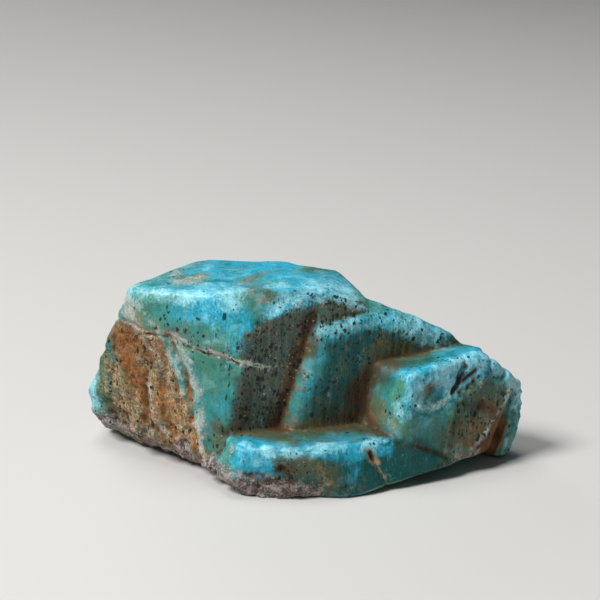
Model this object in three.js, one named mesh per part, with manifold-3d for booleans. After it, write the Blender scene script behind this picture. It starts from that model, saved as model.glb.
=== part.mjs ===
import * as THREE from 'three';
import { ConvexGeometry } from 'three/addons/geometries/ConvexGeometry.js';
import { ImprovedNoise } from 'three/addons/math/ImprovedNoise.js';
import { mergeVertices } from 'three/addons/utils/BufferGeometryUtils.js';
import Module from 'manifold-3d';

const wasm = await Module();
wasm.setup();

// ---------------------------------------------------------------------------
// A cluster of blocky amazonite (blue-green microcline) crystals, in mm, +Z up,
// +X along its length and -Y towards its best side. It rests on z = 0.
//
// The crystals grew parallel to each other, so they share a few face
// directions. A face is given as on a goniometer: the bearing it looks towards,
// in degrees anticlockwise from +X, its rise above the horizon in degrees, and
// its distance from the origin.
// ---------------------------------------------------------------------------

const RESTING_FACE = face(0, -90, 0);
const BACK_UNDERCUT = face(80, -55, 5.5);
const RIGHT_UNDERCUT = face(-46, -69, 6.3);

const MAIN_TOP_LEFT = face(-122, 85.6, 39.2);
const MAIN_TOP_RIGHT = face(-62, 82.7, 38.3);
const MAIN_FRONT = face(-108, 6.5, 18.0);
const MAIN_BEVEL = face(-72, 15, 15.5);
const MAIN_FRONT_RIGHT = face(-68, -1.5, 5.4);
const MAIN_RIGHT_SLOPE = face(-21, 68, 37.1);
const MAIN_RIGHT_BACK = face(19, 30, 26.6);
const MAIN_BACK = face(80, 18, 20.0);
const MAIN_LEFT_BACK = face(142, 32.3, 41.8);
const MAIN_LEFT_TIP = face(174, -6, 43.8);
const BROKEN_WING = face(-132, -5.6, 21.4);
const WING_UNDERCUT = face(-132, -70, 4.0);

// A pale vein crosses the main crystal. Below it the front and the wing are
// set back, so the part above overhangs as a shallow ledge.
const VEIN = face(193, -77, -22.4);
const FRONT_SETBACK = 0.7;
const WING_SETBACK = 1.0;

// The ledge across the right part of the top.
const TOP_LEDGE_STEP = 0.45;
const TOP_LEDGE_FRONT = face(-91, 0, -3.8);
const TOP_LEDGE_LEFT = face(135, 0, 8.4);

const MIDDLE_TOP = face(-84, 56.6, 29.8);
const MIDDLE_LEFT = face(-123, 14.3, 12.3);
const MIDDLE_FRONT = face(-70, 2, 9.0);
const MIDDLE_SLOPE = face(-56, 38, 27.8);
const MIDDLE_BACK_SLOPE = face(73, 40, 25.0);

const RIGHT_TOP = face(-153, 84.7, 21.6);
const RIGHT_LEFT = face(-139, 11, -3.1);
const RIGHT_FRONT = face(-58, 2, 21.2);

const FOOT_TOP = face(12, 88.3, 10.5);
const FOOT_FRONT = face(-94, -11, 16.7);
const FOOT_RIGHT_FRONT = face(-68, 12, 19.4);

const OLIVE_FRONT = face(-63, 4.5, 20.3);
const PLATE_FRONT = face(-33, -8, 32.6);
const PLATE_TOP = face(23.5, 40.5, 40.9);

// Faces that would lie in one plane are kept apart by these small steps.
const HAIR = 0.2;
const SMALL_STEP = 0.3;
const STEP = 0.5;

// Channels, cracks and slits: half their width, and how deep they go.
const UPPER_CHANNEL = { width: 2.4, depth: 1.6 };
const LOWER_CHANNEL = { width: 2.2, depth: 1.4 };
const FOOT_CRACK = { width: 0.9, depth: 1.4 };
const BLOCK_SLIT = { width: 0.5, depth: 1.2 };

// The chip and the pits: radius, depth and how finely they are rounded.
const BLOCK_CHIP = { radius: 3.4, depth: 0.8, facets: 2 };
const MIDDLE_PIT = { radius: 1.1, depth: 0.7, facets: 1 };
const TOP_LEFT_PIT = { radius: 1.0, depth: 0.5, facets: 1 };
const TOP_BACK_PIT = { radius: 0.8, depth: 0.4, facets: 1 };

// Upright ribs on the wing: where they stand along it, half width and height.
const WING_RIBS = [
  { along: -31.5, halfWidth: 1.8, height: 0.9 },
  { along: -26.5, halfWidth: 1.6, height: 0.8 },
  { along: -21.4, halfWidth: 1.1, height: 1.0 },
  { along: -17.6, halfWidth: 0.9, height: 0.6 },
];

// Broken surfaces: the longest edge on them, and how far the wing, the lower
// rim and the back stand out or lie in.
const LONGEST_BROKEN_EDGE = 3.2;
const WING_LUMPS = { coarse: 1.1, fine: 0.5, setIn: 0.5 };
const RIM_LUMPS = 1.1;
const BACK_LUMPS = { coarse: 2.2, fine: 1.1 };

// Where the broken surfaces fade in, as the two ends of a ramp.
const WING_FADE = { depth: [2.5, 4], pastFront: [1, 3], underVein: [0, 1.5], height: [0.2, 3] };
const RIM_FADE = { height: [0.05, 1.5], upTo: [4, 8], cleanFrom: [-6, 4], cleanTo: [0, 6] };
const BACK_FADE = { across: [9, 13], height: [0.05, 2], upTo: [36, 38] };
const CLEAN_RIM_SHARE = 0.25;
const BACK_SKEW = 0.25;
const RIB_LEAN = 0.12;

// --------------------------------- tools -----------------------------------

function face(bearing, rise, distance) {
  const heading = THREE.MathUtils.degToRad(bearing);
  const climb = THREE.MathUtils.degToRad(rise);
  const level = Math.cos(climb);
  const normal = new THREE.Vector3(level * Math.cos(heading), level * Math.sin(heading), Math.sin(climb));
  return new THREE.Plane(normal, -distance);
}

// The same face, set back into the crystal.
function setBack(plane, depth) {
  return new THREE.Plane(plane.normal, plane.constant + depth);
}

function flipped(plane) {
  return plane.clone().negate();
}

function at(x, y, z) {
  return new THREE.Vector3(x, y, z);
}

// The closed convex solid that a set of faces bounds.
function crystal(faces) {
  const corners = [];
  const isInside = (point) => faces.every((plane) => plane.distanceToPoint(point) < 1e-6);
  for (let i = 0; i < faces.length; i += 1) {
    for (let j = i + 1; j < faces.length; j += 1) {
      for (let k = j + 1; k < faces.length; k += 1) {
        const corner = meetingPoint(faces[i], faces[j], faces[k]);
        if (corner && isInside(corner)) {
          corners.push(corner);
        }
      }
    }
  }
  return solid(new ConvexGeometry(corners));
}

// The point where three planes meet, or null where they don't.
function meetingPoint(a, b, c) {
  const bc = new THREE.Vector3().crossVectors(b.normal, c.normal);
  const ca = new THREE.Vector3().crossVectors(c.normal, a.normal);
  const ab = new THREE.Vector3().crossVectors(a.normal, b.normal);
  const volume = a.normal.dot(bc);
  if (Math.abs(volume) < 1e-6) {
    return null;
  }
  return bc.multiplyScalar(-a.constant)
    .addScaledVector(ca, -b.constant)
    .addScaledVector(ab, -c.constant)
    .divideScalar(volume);
}

function solid(geometry) {
  const bare = geometry.clone();
  bare.deleteAttribute('normal');
  bare.deleteAttribute('uv');
  const merged = mergeVertices(bare, 1e-4);
  return new wasm.Manifold(new wasm.Mesh({
    numProp: 3,
    vertProperties: new Float32Array(merged.attributes.position.array),
    triVerts: new Uint32Array(merged.index.array),
  }));
}

function geometryOf(manifold) {
  const mesh = manifold.getMesh();
  const geometry = new THREE.BufferGeometry();
  geometry.setAttribute('position', new THREE.BufferAttribute(new Float32Array(mesh.vertProperties), 3));
  geometry.setIndex(new THREE.BufferAttribute(new Uint32Array(mesh.triVerts), 1));
  return geometry;
}

// A notch with a V section, cut along a line on the surface.
function notch(from, to, outward, { width, depth }) {
  const side = new THREE.Vector3().subVectors(to, from).cross(outward).setLength(width);
  const corners = [];
  for (const end of [from, to]) {
    const rim = end.clone().addScaledVector(outward, depth);
    corners.push(end.clone().addScaledVector(outward, -depth), rim.clone().add(side), rim.sub(side));
  }
  return solid(new ConvexGeometry(corners));
}

// A shallow scoop, round in plan, with its mouth just under the surface.
function scoop(middle, outward, { radius, depth, facets }) {
  const ball = new THREE.IcosahedronGeometry(1, facets);
  ball.scale(radius, radius, depth);
  ball.applyQuaternion(new THREE.Quaternion().setFromUnitVectors(at(0, 0, 1), outward));
  const lifted = middle.clone().addScaledVector(outward, 0.2 * depth);
  ball.translate(lifted.x, lifted.y, lifted.z);
  return solid(ball);
}

// A layer of a face, taken off to a depth between the side faces.
function missingLayer(top, depth, sides) {
  return crystal([setBack(top, -2), flipped(setBack(top, depth)), ...sides]);
}

// -------------------------------- crystals ---------------------------------

function mainCrystal() {
  const whole = crystal([
    MAIN_TOP_LEFT, MAIN_TOP_RIGHT, MAIN_FRONT, MAIN_BEVEL, MAIN_FRONT_RIGHT, MAIN_RIGHT_SLOPE,
    MAIN_RIGHT_BACK, MAIN_BACK, MAIN_LEFT_BACK, MAIN_LEFT_TIP, BROKEN_WING, WING_UNDERCUT,
    BACK_UNDERCUT, RESTING_FACE,
  ]);
  const belowVein = [flipped(VEIN), face(180, 0, 60), face(0, 0, 10), face(0, -90, 5)];
  return whole
    .subtract(missingLayer(MAIN_FRONT, FRONT_SETBACK, belowVein))
    .subtract(missingLayer(BROKEN_WING, WING_SETBACK, belowVein));
}

// The small crystal between the main one and the middle one.
function shoulder() {
  return crystal([
    setBack(MAIN_TOP_RIGHT, 0.6),
    setBack(MAIN_RIGHT_SLOPE, HAIR),
    setBack(MAIN_RIGHT_BACK, SMALL_STEP),
    face(-66, 2, 8.5), // front, above the middle crystal
    face(-123, 14, 11.7), // narrow left side
    face(180, 0, -2),
    face(90, 0, 6),
    face(0, -90, -15),
  ]);
}

function middleCrystal() {
  return crystal([
    MIDDLE_TOP, MIDDLE_LEFT, MIDDLE_FRONT, MIDDLE_SLOPE, MIDDLE_BACK_SLOPE,
    face(12, 25, 38.2), // right end
    face(85, 20, 18.5), // back
    face(180, 0, 6),
    setBack(RIGHT_UNDERCUT, STEP),
    setBack(BACK_UNDERCUT, STEP),
    RESTING_FACE,
  ]);
}

function rightBlock() {
  return crystal([
    RIGHT_TOP, RIGHT_LEFT, RIGHT_FRONT,
    face(10, 5, 36.1), // right end
    face(45, 40, 34.7), // back corner
    setBack(MIDDLE_BACK_SLOPE, SMALL_STEP),
    face(85, 20, 18.0), // back
    face(-148, -63, -12.0), // underside, along the seam with the foot
    face(-46, -69, 5.0),
    RESTING_FACE,
  ]);
}

function footBlock() {
  return crystal([
    FOOT_TOP, FOOT_FRONT, FOOT_RIGHT_FRONT,
    face(-117, 11, 22.3), // left front
    face(-140, 16.7, 22.4), // left end
    face(20, 60, 15.3), // right end, under the right block
    face(-150, -45, 12.5), // undercut at the left
    face(90, 0, 3),
    RIGHT_UNDERCUT, RESTING_FACE,
  ]);
}

function oliveBlock() {
  return crystal([
    OLIVE_FRONT,
    setBack(RIGHT_TOP, HAIR),
    face(38.5, 45, 35.4), // slope down to the right
    face(-8, -20, 32.7), // right end, towards the stained groove
    face(90, 0, 8),
    face(180, 11.5, -25.7),
    setBack(RIGHT_UNDERCUT, HAIR),
    RESTING_FACE,
  ]);
}

// The thin plate at the right end, behind the stained groove.
function endPlate() {
  return crystal([
    PLATE_FRONT, PLATE_TOP,
    face(-125, 5, -24), // left edge
    face(80, 15, 14), // back
    face(5, -5, 43.6), // right end
    face(180, 0, -34),
    face(-20, -75, 9),
    RESTING_FACE,
  ]);
}

function backLeftBlock() {
  return crystal([
    face(60, 85, 26.5), // top
    face(112, 3, 23.9),
    face(72, 5, 17.0),
    face(20, 5, 6.6),
    face(160, 10, 31.3),
    face(-90, 0, -4),
    face(80, -40, 9),
    setBack(WING_UNDERCUT, SMALL_STEP),
    RESTING_FACE,
  ]);
}

function backRightBlock() {
  return crystal([
    face(100, 82, 18.3), // top
    face(72, 8, 23.3),
    face(112, 2, 14.3),
    face(35, 6, 29.2),
    face(180, 0, -2),
    face(-90, 0, -4),
    face(75, -40, 12),
    RESTING_FACE,
  ]);
}

// --------------------------- channels, pits, chips -------------------------

// The channel down the corner between the front and the wing.
function channel() {
  const outward = MAIN_FRONT.normal.clone().add(BROKEN_WING.normal).normalize();
  return [
    notch(at(-30.5, -6.2, 32), at(-22.6, -9.6, 18), outward, UPPER_CHANNEL),
    notch(at(-23.4, -9.4, 22), at(-21.9, -11, 6), outward, LOWER_CHANNEL),
  ];
}

function footCrack() {
  return notch(at(11.9, -14.6, 8.8), at(16.2, -14.6, 0.5), FOOT_RIGHT_FRONT.normal, FOOT_CRACK);
}

function blockSlit() {
  return notch(at(28.2, -6.6, 16.4), at(31.4, -4.5, 22), RIGHT_FRONT.normal, BLOCK_SLIT);
}

function hollows() {
  return [
    scoop(at(24.9, -8.9, 17.4), RIGHT_FRONT.normal, BLOCK_CHIP),
    scoop(at(3.9, -7.5, 18), MIDDLE_FRONT.normal, MIDDLE_PIT),
    scoop(at(-28.3, 3, 38.4), MAIN_TOP_LEFT.normal, TOP_LEFT_PIT),
    scoop(at(-8.8, 7.1, 39.4), MAIN_TOP_LEFT.normal, TOP_BACK_PIT),
  ];
}

function topLedge() {
  const sides = [TOP_LEDGE_FRONT, TOP_LEDGE_LEFT, face(90, 0, 30), face(0, 0, 30)];
  return missingLayer(MAIN_TOP_RIGHT, TOP_LEDGE_STEP, sides);
}

function cluster() {
  const grown = [
    mainCrystal(), shoulder(), middleCrystal(), rightBlock(), footBlock(), oliveBlock(), endPlate(),
    backLeftBlock(), backRightBlock(),
  ];
  const cuts = [...channel(), footCrack(), blockSlit(), ...hollows(), topLedge()];
  const joined = grown.reduce((whole, one) => whole.add(one));
  return cuts.reduce((whole, cut) => whole.subtract(cut), joined);
}

// ----------------------------- broken surfaces -----------------------------
// The wing, the lower rim and the whole back are rough, while the crystal
// faces and the resting face stay flat.

const perlin = new ImprovedNoise();

function noise(point, size, stretch = 1) {
  return perlin.noise(point.x / size + 7.3, point.y / size + 2.9, point.z / (size * stretch) + 5.1);
}

function ramp(value, [low, high]) {
  return THREE.MathUtils.smoothstep(value, low, high);
}

// How broken the wing is at a point, from 0 to 1.
function wingShare(point) {
  const depth = -BROKEN_WING.distanceToPoint(point);
  const pastFront = -MAIN_FRONT.distanceToPoint(point);
  const underVein = VEIN.distanceToPoint(point);
  return (1 - ramp(depth, WING_FADE.depth)) * ramp(pastFront, WING_FADE.pastFront)
    * ramp(underVein, WING_FADE.underVein) * ramp(point.z, WING_FADE.height);
}

// The same for the lower rim, which is cleaner at the front right.
function rimShare(point) {
  const clean = ramp(point.x, RIM_FADE.cleanFrom) * (1 - ramp(point.y, RIM_FADE.cleanTo));
  const rough = (1 - ramp(point.z, RIM_FADE.upTo)) * ramp(point.z, RIM_FADE.height);
  return rough * THREE.MathUtils.lerp(1, CLEAN_RIM_SHARE, clean);
}

function backShare(point) {
  return ramp(point.y - BACK_SKEW * point.x, BACK_FADE.across) * ramp(point.z, BACK_FADE.height)
    * (1 - ramp(point.z, BACK_FADE.upTo));
}

function isBroken(point) {
  return Math.max(wingShare(point), rimShare(point), backShare(point)) > 0.02;
}

function ribHeight(point) {
  const alongWing = at(-BROKEN_WING.normal.y, BROKEN_WING.normal.x, 0).normalize();
  const along = point.dot(alongWing) + RIB_LEAN * point.z;
  return WING_RIBS.reduce((height, rib) => {
    const across = Math.abs(along - rib.along) / rib.halfWidth;
    return height + rib.height * Math.max(0, 1 - across);
  }, 0);
}

// Where a point of the smooth solid lies on the broken one.
function broken(point) {
  const relief = ribHeight(point) - WING_LUMPS.setIn
    + WING_LUMPS.coarse * noise(point, 5, 3) + WING_LUMPS.fine * noise(point, 2);
  const shift = BROKEN_WING.normal.clone().multiplyScalar(relief * wingShare(point));
  const elsewhere = point.clone().addScalar(40);
  const lumps = at(noise(point, 3), noise(elsewhere, 3), 0.6 * noise(point, 2.2));
  shift.addScaledVector(lumps, RIM_LUMPS * rimShare(point));
  const spall = BACK_LUMPS.coarse * noise(point, 9) + BACK_LUMPS.fine * noise(point, 3.5);
  shift.addScaledVector(MAIN_BACK.normal, spall * backShare(point));
  return point.clone().add(shift);
}

// Splits the edges of broken surfaces until none is longer than the limit.
function refined(geometry, longest) {
  const position = geometry.attributes.position;
  const points = Array.from({ length: position.count }, (_, i) => at().fromBufferAttribute(position, i));
  let triangles = [];
  for (let i = 0; i < geometry.index.count; i += 3) {
    triangles.push([0, 1, 2].map((corner) => geometry.index.getX(i + corner)));
  }
  let count = 0;
  while (triangles.length !== count) {
    count = triangles.length;
    const middles = new Map();
    const middle = (a, b) => {
      const key = a < b ? `${a} ${b}` : `${b} ${a}`;
      if (!middles.has(key)) {
        const point = points[a].clone().lerp(points[b], 0.5);
        const isSplit = points[a].distanceTo(points[b]) > longest && isBroken(point);
        middles.set(key, isSplit ? points.push(point) - 1 : null);
      }
      return middles.get(key);
    };
    triangles = triangles.flatMap((triangle) => {
      const [a, b, c] = triangle;
      return split(triangle, [middle(a, b), middle(b, c), middle(c, a)]);
    });
  }
  return { points, triangles };
}

// The triangles that one triangle becomes, for the middles of its split edges.
function split([a, b, c], [ab, bc, ca]) {
  const cuts = [ab, bc, ca].filter((middle) => middle !== null).length;
  if (cuts === 0) {
    return [[a, b, c]];
  }
  if (cuts === 3) {
    return [[a, ab, ca], [ab, b, bc], [ca, bc, c], [ab, bc, ca]];
  }
  // Turned so that the first edge is split and, with two cuts, the third isn't.
  if (ab === null || (cuts === 2 && ca !== null)) {
    return split([b, c, a], [bc, ca, ab]);
  }
  if (cuts === 1) {
    return [[a, ab, c], [ab, b, c]];
  }
  return [[ab, b, bc], [a, ab, bc], [a, bc, c]];
}

// The finished stone, centred over the origin and resting on z = 0.
function stoneGeometry() {
  const { points, triangles } = refined(geometryOf(cluster()), LONGEST_BROKEN_EDGE);
  const geometry = new THREE.BufferGeometry().setFromPoints(points.map(broken));
  geometry.setIndex(triangles.flat());
  geometry.computeBoundingBox();
  const middle = geometry.boundingBox.getCenter(at());
  return geometry.translate(-middle.x, -middle.y, 0);
}

const stone = new THREE.Mesh(
  stoneGeometry(),
  new THREE.MeshStandardMaterial({ color: 0x3f9c9a, roughness: 0.5, metalness: 0 }),
);
stone.name = 'amazonite_crystal_cluster';

const specimen = new THREE.Group();
specimen.add(stone);

export default specimen;
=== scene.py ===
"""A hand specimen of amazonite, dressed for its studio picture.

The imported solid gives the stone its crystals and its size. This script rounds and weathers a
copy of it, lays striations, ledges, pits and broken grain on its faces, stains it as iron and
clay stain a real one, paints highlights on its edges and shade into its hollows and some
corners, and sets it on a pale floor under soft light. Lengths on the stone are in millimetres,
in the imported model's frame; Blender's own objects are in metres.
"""

from __future__ import annotations

import logging
import math
from dataclasses import dataclass, field
from enum import Enum

import bpy
import numpy as np
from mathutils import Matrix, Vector, noise

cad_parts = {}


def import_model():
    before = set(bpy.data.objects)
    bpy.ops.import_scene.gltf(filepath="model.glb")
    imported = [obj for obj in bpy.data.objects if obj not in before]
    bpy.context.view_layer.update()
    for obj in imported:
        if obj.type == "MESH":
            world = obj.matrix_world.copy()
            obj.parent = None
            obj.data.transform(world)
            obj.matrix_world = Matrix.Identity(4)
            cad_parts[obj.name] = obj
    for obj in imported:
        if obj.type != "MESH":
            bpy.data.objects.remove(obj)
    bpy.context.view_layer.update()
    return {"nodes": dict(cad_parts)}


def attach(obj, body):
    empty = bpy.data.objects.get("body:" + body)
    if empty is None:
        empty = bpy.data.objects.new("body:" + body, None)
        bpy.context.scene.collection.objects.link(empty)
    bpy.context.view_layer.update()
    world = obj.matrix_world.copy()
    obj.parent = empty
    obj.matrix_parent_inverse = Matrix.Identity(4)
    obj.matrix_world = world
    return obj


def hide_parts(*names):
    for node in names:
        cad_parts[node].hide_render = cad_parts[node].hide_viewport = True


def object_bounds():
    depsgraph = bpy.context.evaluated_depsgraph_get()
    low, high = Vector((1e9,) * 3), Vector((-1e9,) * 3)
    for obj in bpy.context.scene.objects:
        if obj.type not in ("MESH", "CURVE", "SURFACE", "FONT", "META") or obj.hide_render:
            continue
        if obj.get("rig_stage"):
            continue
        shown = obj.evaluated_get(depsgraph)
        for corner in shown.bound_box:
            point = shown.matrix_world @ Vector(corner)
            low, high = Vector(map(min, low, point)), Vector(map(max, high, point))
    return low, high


LOG = logging.getLogger("amazonite")

MM = 0.001
NODE = "amazonite_crystal_cluster"

Point = tuple[float, float, float]
Route = tuple[Point, ...]
Colour = tuple[float, float, float]

# The point that the crystal faces are measured from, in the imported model's frame.
FACES_ORIGIN = np.array([0.195, -3.221, 0.0])
UPRIGHT = np.array([0.0, 0.0, 1.0])


# ------------------------------------------------------------------ numbers


def smoothstep(value: np.ndarray, low: float, high: float) -> np.ndarray:
    """Fade from 0 at low to 1 at high.

    Args:
        value: The numbers to fade.
        low: Where the fade starts.
        high: Where it ends.

    Returns:
        A number from 0 to 1 for each value.
    """
    share = np.clip((value - low) / (high - low), 0.0, 1.0)
    return share * share * (3.0 - 2.0 * share)


def grain(points: np.ndarray, size: float, shift: float = 0.0) -> np.ndarray:
    """Soft random relief, from about -1 to 1.

    Args:
        points: Places on the stone.
        size: How wide one lump is, in the units of the points.
        shift: Moves the pattern, so that two grains of one size differ.

    Returns:
        One number for each point.
    """
    places = points / size + shift
    return np.array([noise.noise(place) for place in places.tolist()])


def stretched(points: np.ndarray, along: np.ndarray, factor: float) -> np.ndarray:
    """Squeeze points along a direction, which draws a grain out along it.

    Args:
        points: Places on the stone.
        along: The direction, of length 1.
        factor: How many times longer a lump becomes.

    Returns:
        The squeezed points.
    """
    travel = points @ along
    return points - np.outer(travel * (1.0 - 1.0 / factor), along)


def distance_to_route(points: np.ndarray, route: Route) -> np.ndarray:
    """How far each point is from a line of straight stretches.

    Args:
        points: Places on the stone.
        route: The corners of the line, or a single spot.

    Returns:
        One distance for each point.
    """
    corners = np.array(route, dtype=float)
    nearest = np.linalg.norm(points - corners[0], axis=1)
    for start, end in zip(corners[:-1], corners[1:]):
        run = end - start
        share = np.clip((points - start) @ run / (run @ run), 0.0, 1.0)
        gap = np.linalg.norm(points - start - np.outer(share, run), axis=1)
        nearest = np.minimum(nearest, gap)
    return nearest


# ------------------------------------------------------------ crystal faces


@dataclass(frozen=True)
class CrystalFace:
    """A flat face, given as on a goniometer."""

    bearing: float
    rise: float
    distance: float

    @property
    def normal(self) -> np.ndarray:
        """The direction that the face looks in.

        Returns:
            A direction of length 1.
        """
        heading, climb = math.radians(self.bearing), math.radians(self.rise)
        level = math.cos(climb)
        return np.array([level * math.cos(heading), level * math.sin(heading), math.sin(climb)])

    def depth(self, points: np.ndarray) -> np.ndarray:
        """How far behind the face each point lies."""
        return self.distance - (points - FACES_ORIGIN) @ self.normal

    def share(self, surface: Surface, reach: float = 1.6) -> np.ndarray:
        """How much each vertex belongs to this face.

        Args:
            surface: The stone's surface.
            reach: The depth at which a vertex no longer belongs to it.

        Returns:
            A number from 0 to 1 for each vertex.
        """
        near = 1.0 - smoothstep(np.abs(self.depth(surface.points)), 0.5 * reach, reach)
        return near * smoothstep(surface.normals @ self.normal, 0.72, 0.93)


class Face(Enum):
    """The crystal faces that the looks are tied to."""

    MAIN_TOP_LEFT = CrystalFace(-122, 85.6, 39.2)
    MAIN_TOP_RIGHT = CrystalFace(-62, 82.7, 38.3)
    MAIN_FRONT = CrystalFace(-108, 6.5, 18.0)
    MAIN_FRONT_RIGHT = CrystalFace(-68, -1.5, 5.4)
    MAIN_RIGHT_SLOPE = CrystalFace(-21, 68, 37.1)
    BROKEN_WING = CrystalFace(-132, -5.6, 21.4)
    VEIN = CrystalFace(193, -77, -22.4)
    SHOULDER_FRONT = CrystalFace(-66, 2, 8.5)
    MIDDLE_LEFT = CrystalFace(-123, 14.3, 12.3)
    MIDDLE_FRONT = CrystalFace(-70, 2, 9.0)
    MIDDLE_SLOPE = CrystalFace(-56, 38, 27.8)
    RIGHT_TOP = CrystalFace(-153, 84.7, 21.6)
    RIGHT_LEFT = CrystalFace(-139, 11, -3.1)
    RIGHT_FRONT = CrystalFace(-58, 2, 21.2)
    OLIVE_FRONT = CrystalFace(-63, 4.5, 20.3)
    PLATE_FRONT = CrystalFace(-33, -8, 32.6)
    FOOT_TOP = CrystalFace(12, 88.3, 10.5)
    FOOT_FRONT = CrystalFace(-94, -11, 16.7)
    FOOT_RIGHT_FRONT = CrystalFace(-68, 12, 19.4)


class Tint(Enum):
    """What colours the stone, each kept as one attribute of its mesh."""

    SKY = "tint_sky"
    DEEP = "tint_deep"
    OLIVE = "tint_olive"
    GLOOM = "tint_gloom"
    TAN = "tint_tan"
    RUST = "tint_rust"
    AMBER = "tint_amber"
    # Dark brown: stain in grooves, slits and pits, and painted shade in hollows.
    UMBER = "tint_umber"
    # Pale blue: painted highlights on edges and ridges, and also real frost and pale patches.
    BLOOM = "tint_highlight_and_frost"
    CHALK = "tint_chalk"
    CRUST = "tint_crust"
    SPECK = "tint_speck"
    BROKEN = "tint_broken"
    LEVEL = "tint_level"


# ------------------------------------------------------------------ surface


@dataclass
class Surface:
    """The stone's skin as arrays: where it is, how far it is moved and what tints it."""

    mesh: bpy.types.Mesh
    points: np.ndarray = field(init=False)
    normals: np.ndarray = field(init=False)
    lift: np.ndarray = field(init=False)
    tints: dict[Tint, np.ndarray] = field(init=False)
    edges: np.ndarray = field(init=False)
    cut: np.ndarray = field(init=False)

    def __post_init__(self) -> None:
        """Read the mesh for the first time."""
        self.read()
        self.tints = {tint: np.zeros(len(self.points)) for tint in Tint}

    def read(self) -> None:
        """Take the points and normals from the mesh again."""
        count = len(self.mesh.vertices)
        flat = np.empty(count * 3)
        self.mesh.vertices.foreach_get("co", flat)
        self.points = flat.reshape(-1, 3) / MM
        flat = np.empty(count * 3)
        self.mesh.vertices.foreach_get("normal", flat)
        self.normals = flat.reshape(-1, 3)
        pairs = np.empty(len(self.mesh.edges) * 2, dtype=np.int64)
        self.mesh.edges.foreach_get("vertices", pairs)
        self.edges = pairs.reshape(-1, 2)
        self.lift = np.zeros(count)
        self.cut = np.zeros(count)

    def settle(self) -> None:
        """Move the mesh by the lift, keep its resting face flat and read it again."""
        resting = (1.0 - smoothstep(self.points[:, 2], 0.05, 0.6)) * (1.0 - self.cut)
        moved = self.points + self.normals * (self.lift * (1.0 - resting))[:, None]
        moved[:, 2] = np.maximum(moved[:, 2], 0.0)
        self.mesh.vertices.foreach_set("co", (moved * MM).ravel())
        self.mesh.update()
        self.read()

    def averaged(self, values: np.ndarray, rounds: int) -> np.ndarray:
        """Average each vertex with its neighbours.

        Args:
            values: One row for each vertex.
            rounds: How often the average is taken.

        Returns:
            The averaged rows.
        """
        first, second = self.edges[:, 0], self.edges[:, 1]
        count = len(self.points)
        links = np.bincount(first, minlength=count) + np.bincount(second, minlength=count)
        rows = values.reshape(count, -1).copy()
        for _ in range(rounds):
            for column in range(rows.shape[1]):
                total = np.bincount(first, rows[second, column], minlength=count)
                total += np.bincount(second, rows[first, column], minlength=count)
                rows[:, column] = 0.5 * rows[:, column] + 0.5 * total / links
        return rows.reshape(values.shape)

    def bulge(self, rounds: int) -> np.ndarray:
        """How far each vertex stands out from its surroundings, in millimetres.

        Args:
            rounds: How wide the surroundings are.

        Returns:
            Positive numbers on ridges and corners, negative ones in hollows.
        """
        around = self.averaged(self.points, rounds)
        return np.einsum("ij,ij->i", self.points - around, self.normals)

    def near(self, route: Route, radius: float, soft: float = 0.6, patchy: float = 1.0) -> np.ndarray:
        """How close each vertex is to a line, with a wandering border.

        Args:
            route: The line, or a single spot.
            radius: How far the line reaches.
            soft: The share of the radius over which it fades.
            patchy: How patchy it is, from 0 to 1.

        Returns:
            1 on the line, 0 away from it.
        """
        share = np.zeros(len(self.points))
        boxed = self.around(route, radius * (1.6 + soft))
        if boxed.any():
            places = self.points[boxed]
            gap = distance_to_route(places, route)
            gap += 0.55 * radius * grain(places, max(0.9 * radius, 0.8), 3.1)
            gap += 0.3 * radius * grain(places, 0.7, 6.2)
            patches = 0.72 + 0.75 * grain(places, 2.0 + 1.2 * radius, 7.9)
            fade = 1.0 - smoothstep(gap, radius * (1.0 - soft), radius * (1.0 + soft))
            share[boxed] = fade * (1.0 - patchy * (1.0 - np.clip(patches, 0.25, 1.0)))
        return share

    def around(self, route: Route, margin: float) -> np.ndarray:
        """Which vertices lie in the box around a line.

        Args:
            route: The line.
            margin: How far the box reaches past it.

        Returns:
            True for each vertex in the box.
        """
        corners = np.array(route)
        inside = np.all(self.points > corners.min(0) - margin, axis=1)
        return inside & np.all(self.points < corners.max(0) + margin, axis=1)

    def crease(self, route: Route, half_width: float, height: float) -> None:
        """Raise a wandering ridge along a line, or sink a groove where the height is negative.

        Args:
            route: The line.
            half_width: Half its width.
            height: How far it stands out.
        """
        boxed = self.around(route, 3.0 * half_width + 1.0)
        places = self.points[boxed]
        if len(places):
            gap = distance_to_route(places, route) / half_width
            gap = np.maximum(gap + 0.7 * grain(places, 0.6 + 0.6 * half_width, 2.2), 0.0)
            uneven = 0.85 + 0.7 * grain(places, 1.0 + half_width, 5.2)
            self.lift[boxed] += height * uneven * np.exp(-1.5 * gap * gap)

    def grind(self, face: CrystalFace, where: np.ndarray | float = 1.0) -> None:
        """Take off what stands out beyond a flat face.

        Args:
            face: The face.
            where: The share of each vertex that takes part.
        """
        over = np.maximum(-face.depth(self.points), 0.0) * where
        self.cut = np.maximum(self.cut, smoothstep(over, 0.0, 0.3))
        self.lift -= over / np.maximum(self.normals @ face.normal, 0.4)

    def lay(self, tint: Tint, share: np.ndarray) -> None:
        """Lay a tint over what is there; a negative share takes it off.

        Args:
            tint: The tint.
            share: How much of it to lay at each vertex, from -1 to 1.
        """
        present = self.tints[tint]
        added = present + np.maximum(share, 0.0) * (1.0 - present)
        self.tints[tint] = added * (1.0 + np.minimum(share, 0.0))

    def brush(
        self,
        tint: Tint,
        strength: float,
        radius: float,
        *route: Point,
        soft: float = 0.8,
        patchy: float = 1.0,
    ) -> None:
        """Lay a tint along a line.

        Args:
            tint: The tint.
            strength: How strong it is, negative to take it off.
            radius: How far it reaches from the line.
            route: The line's corners, or a single spot.
            soft: The share of the radius over which it fades.
            patchy: How patchy it is, from 0 to 1.
        """
        self.lay(tint, strength * self.near(route, radius, soft, patchy))

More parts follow.
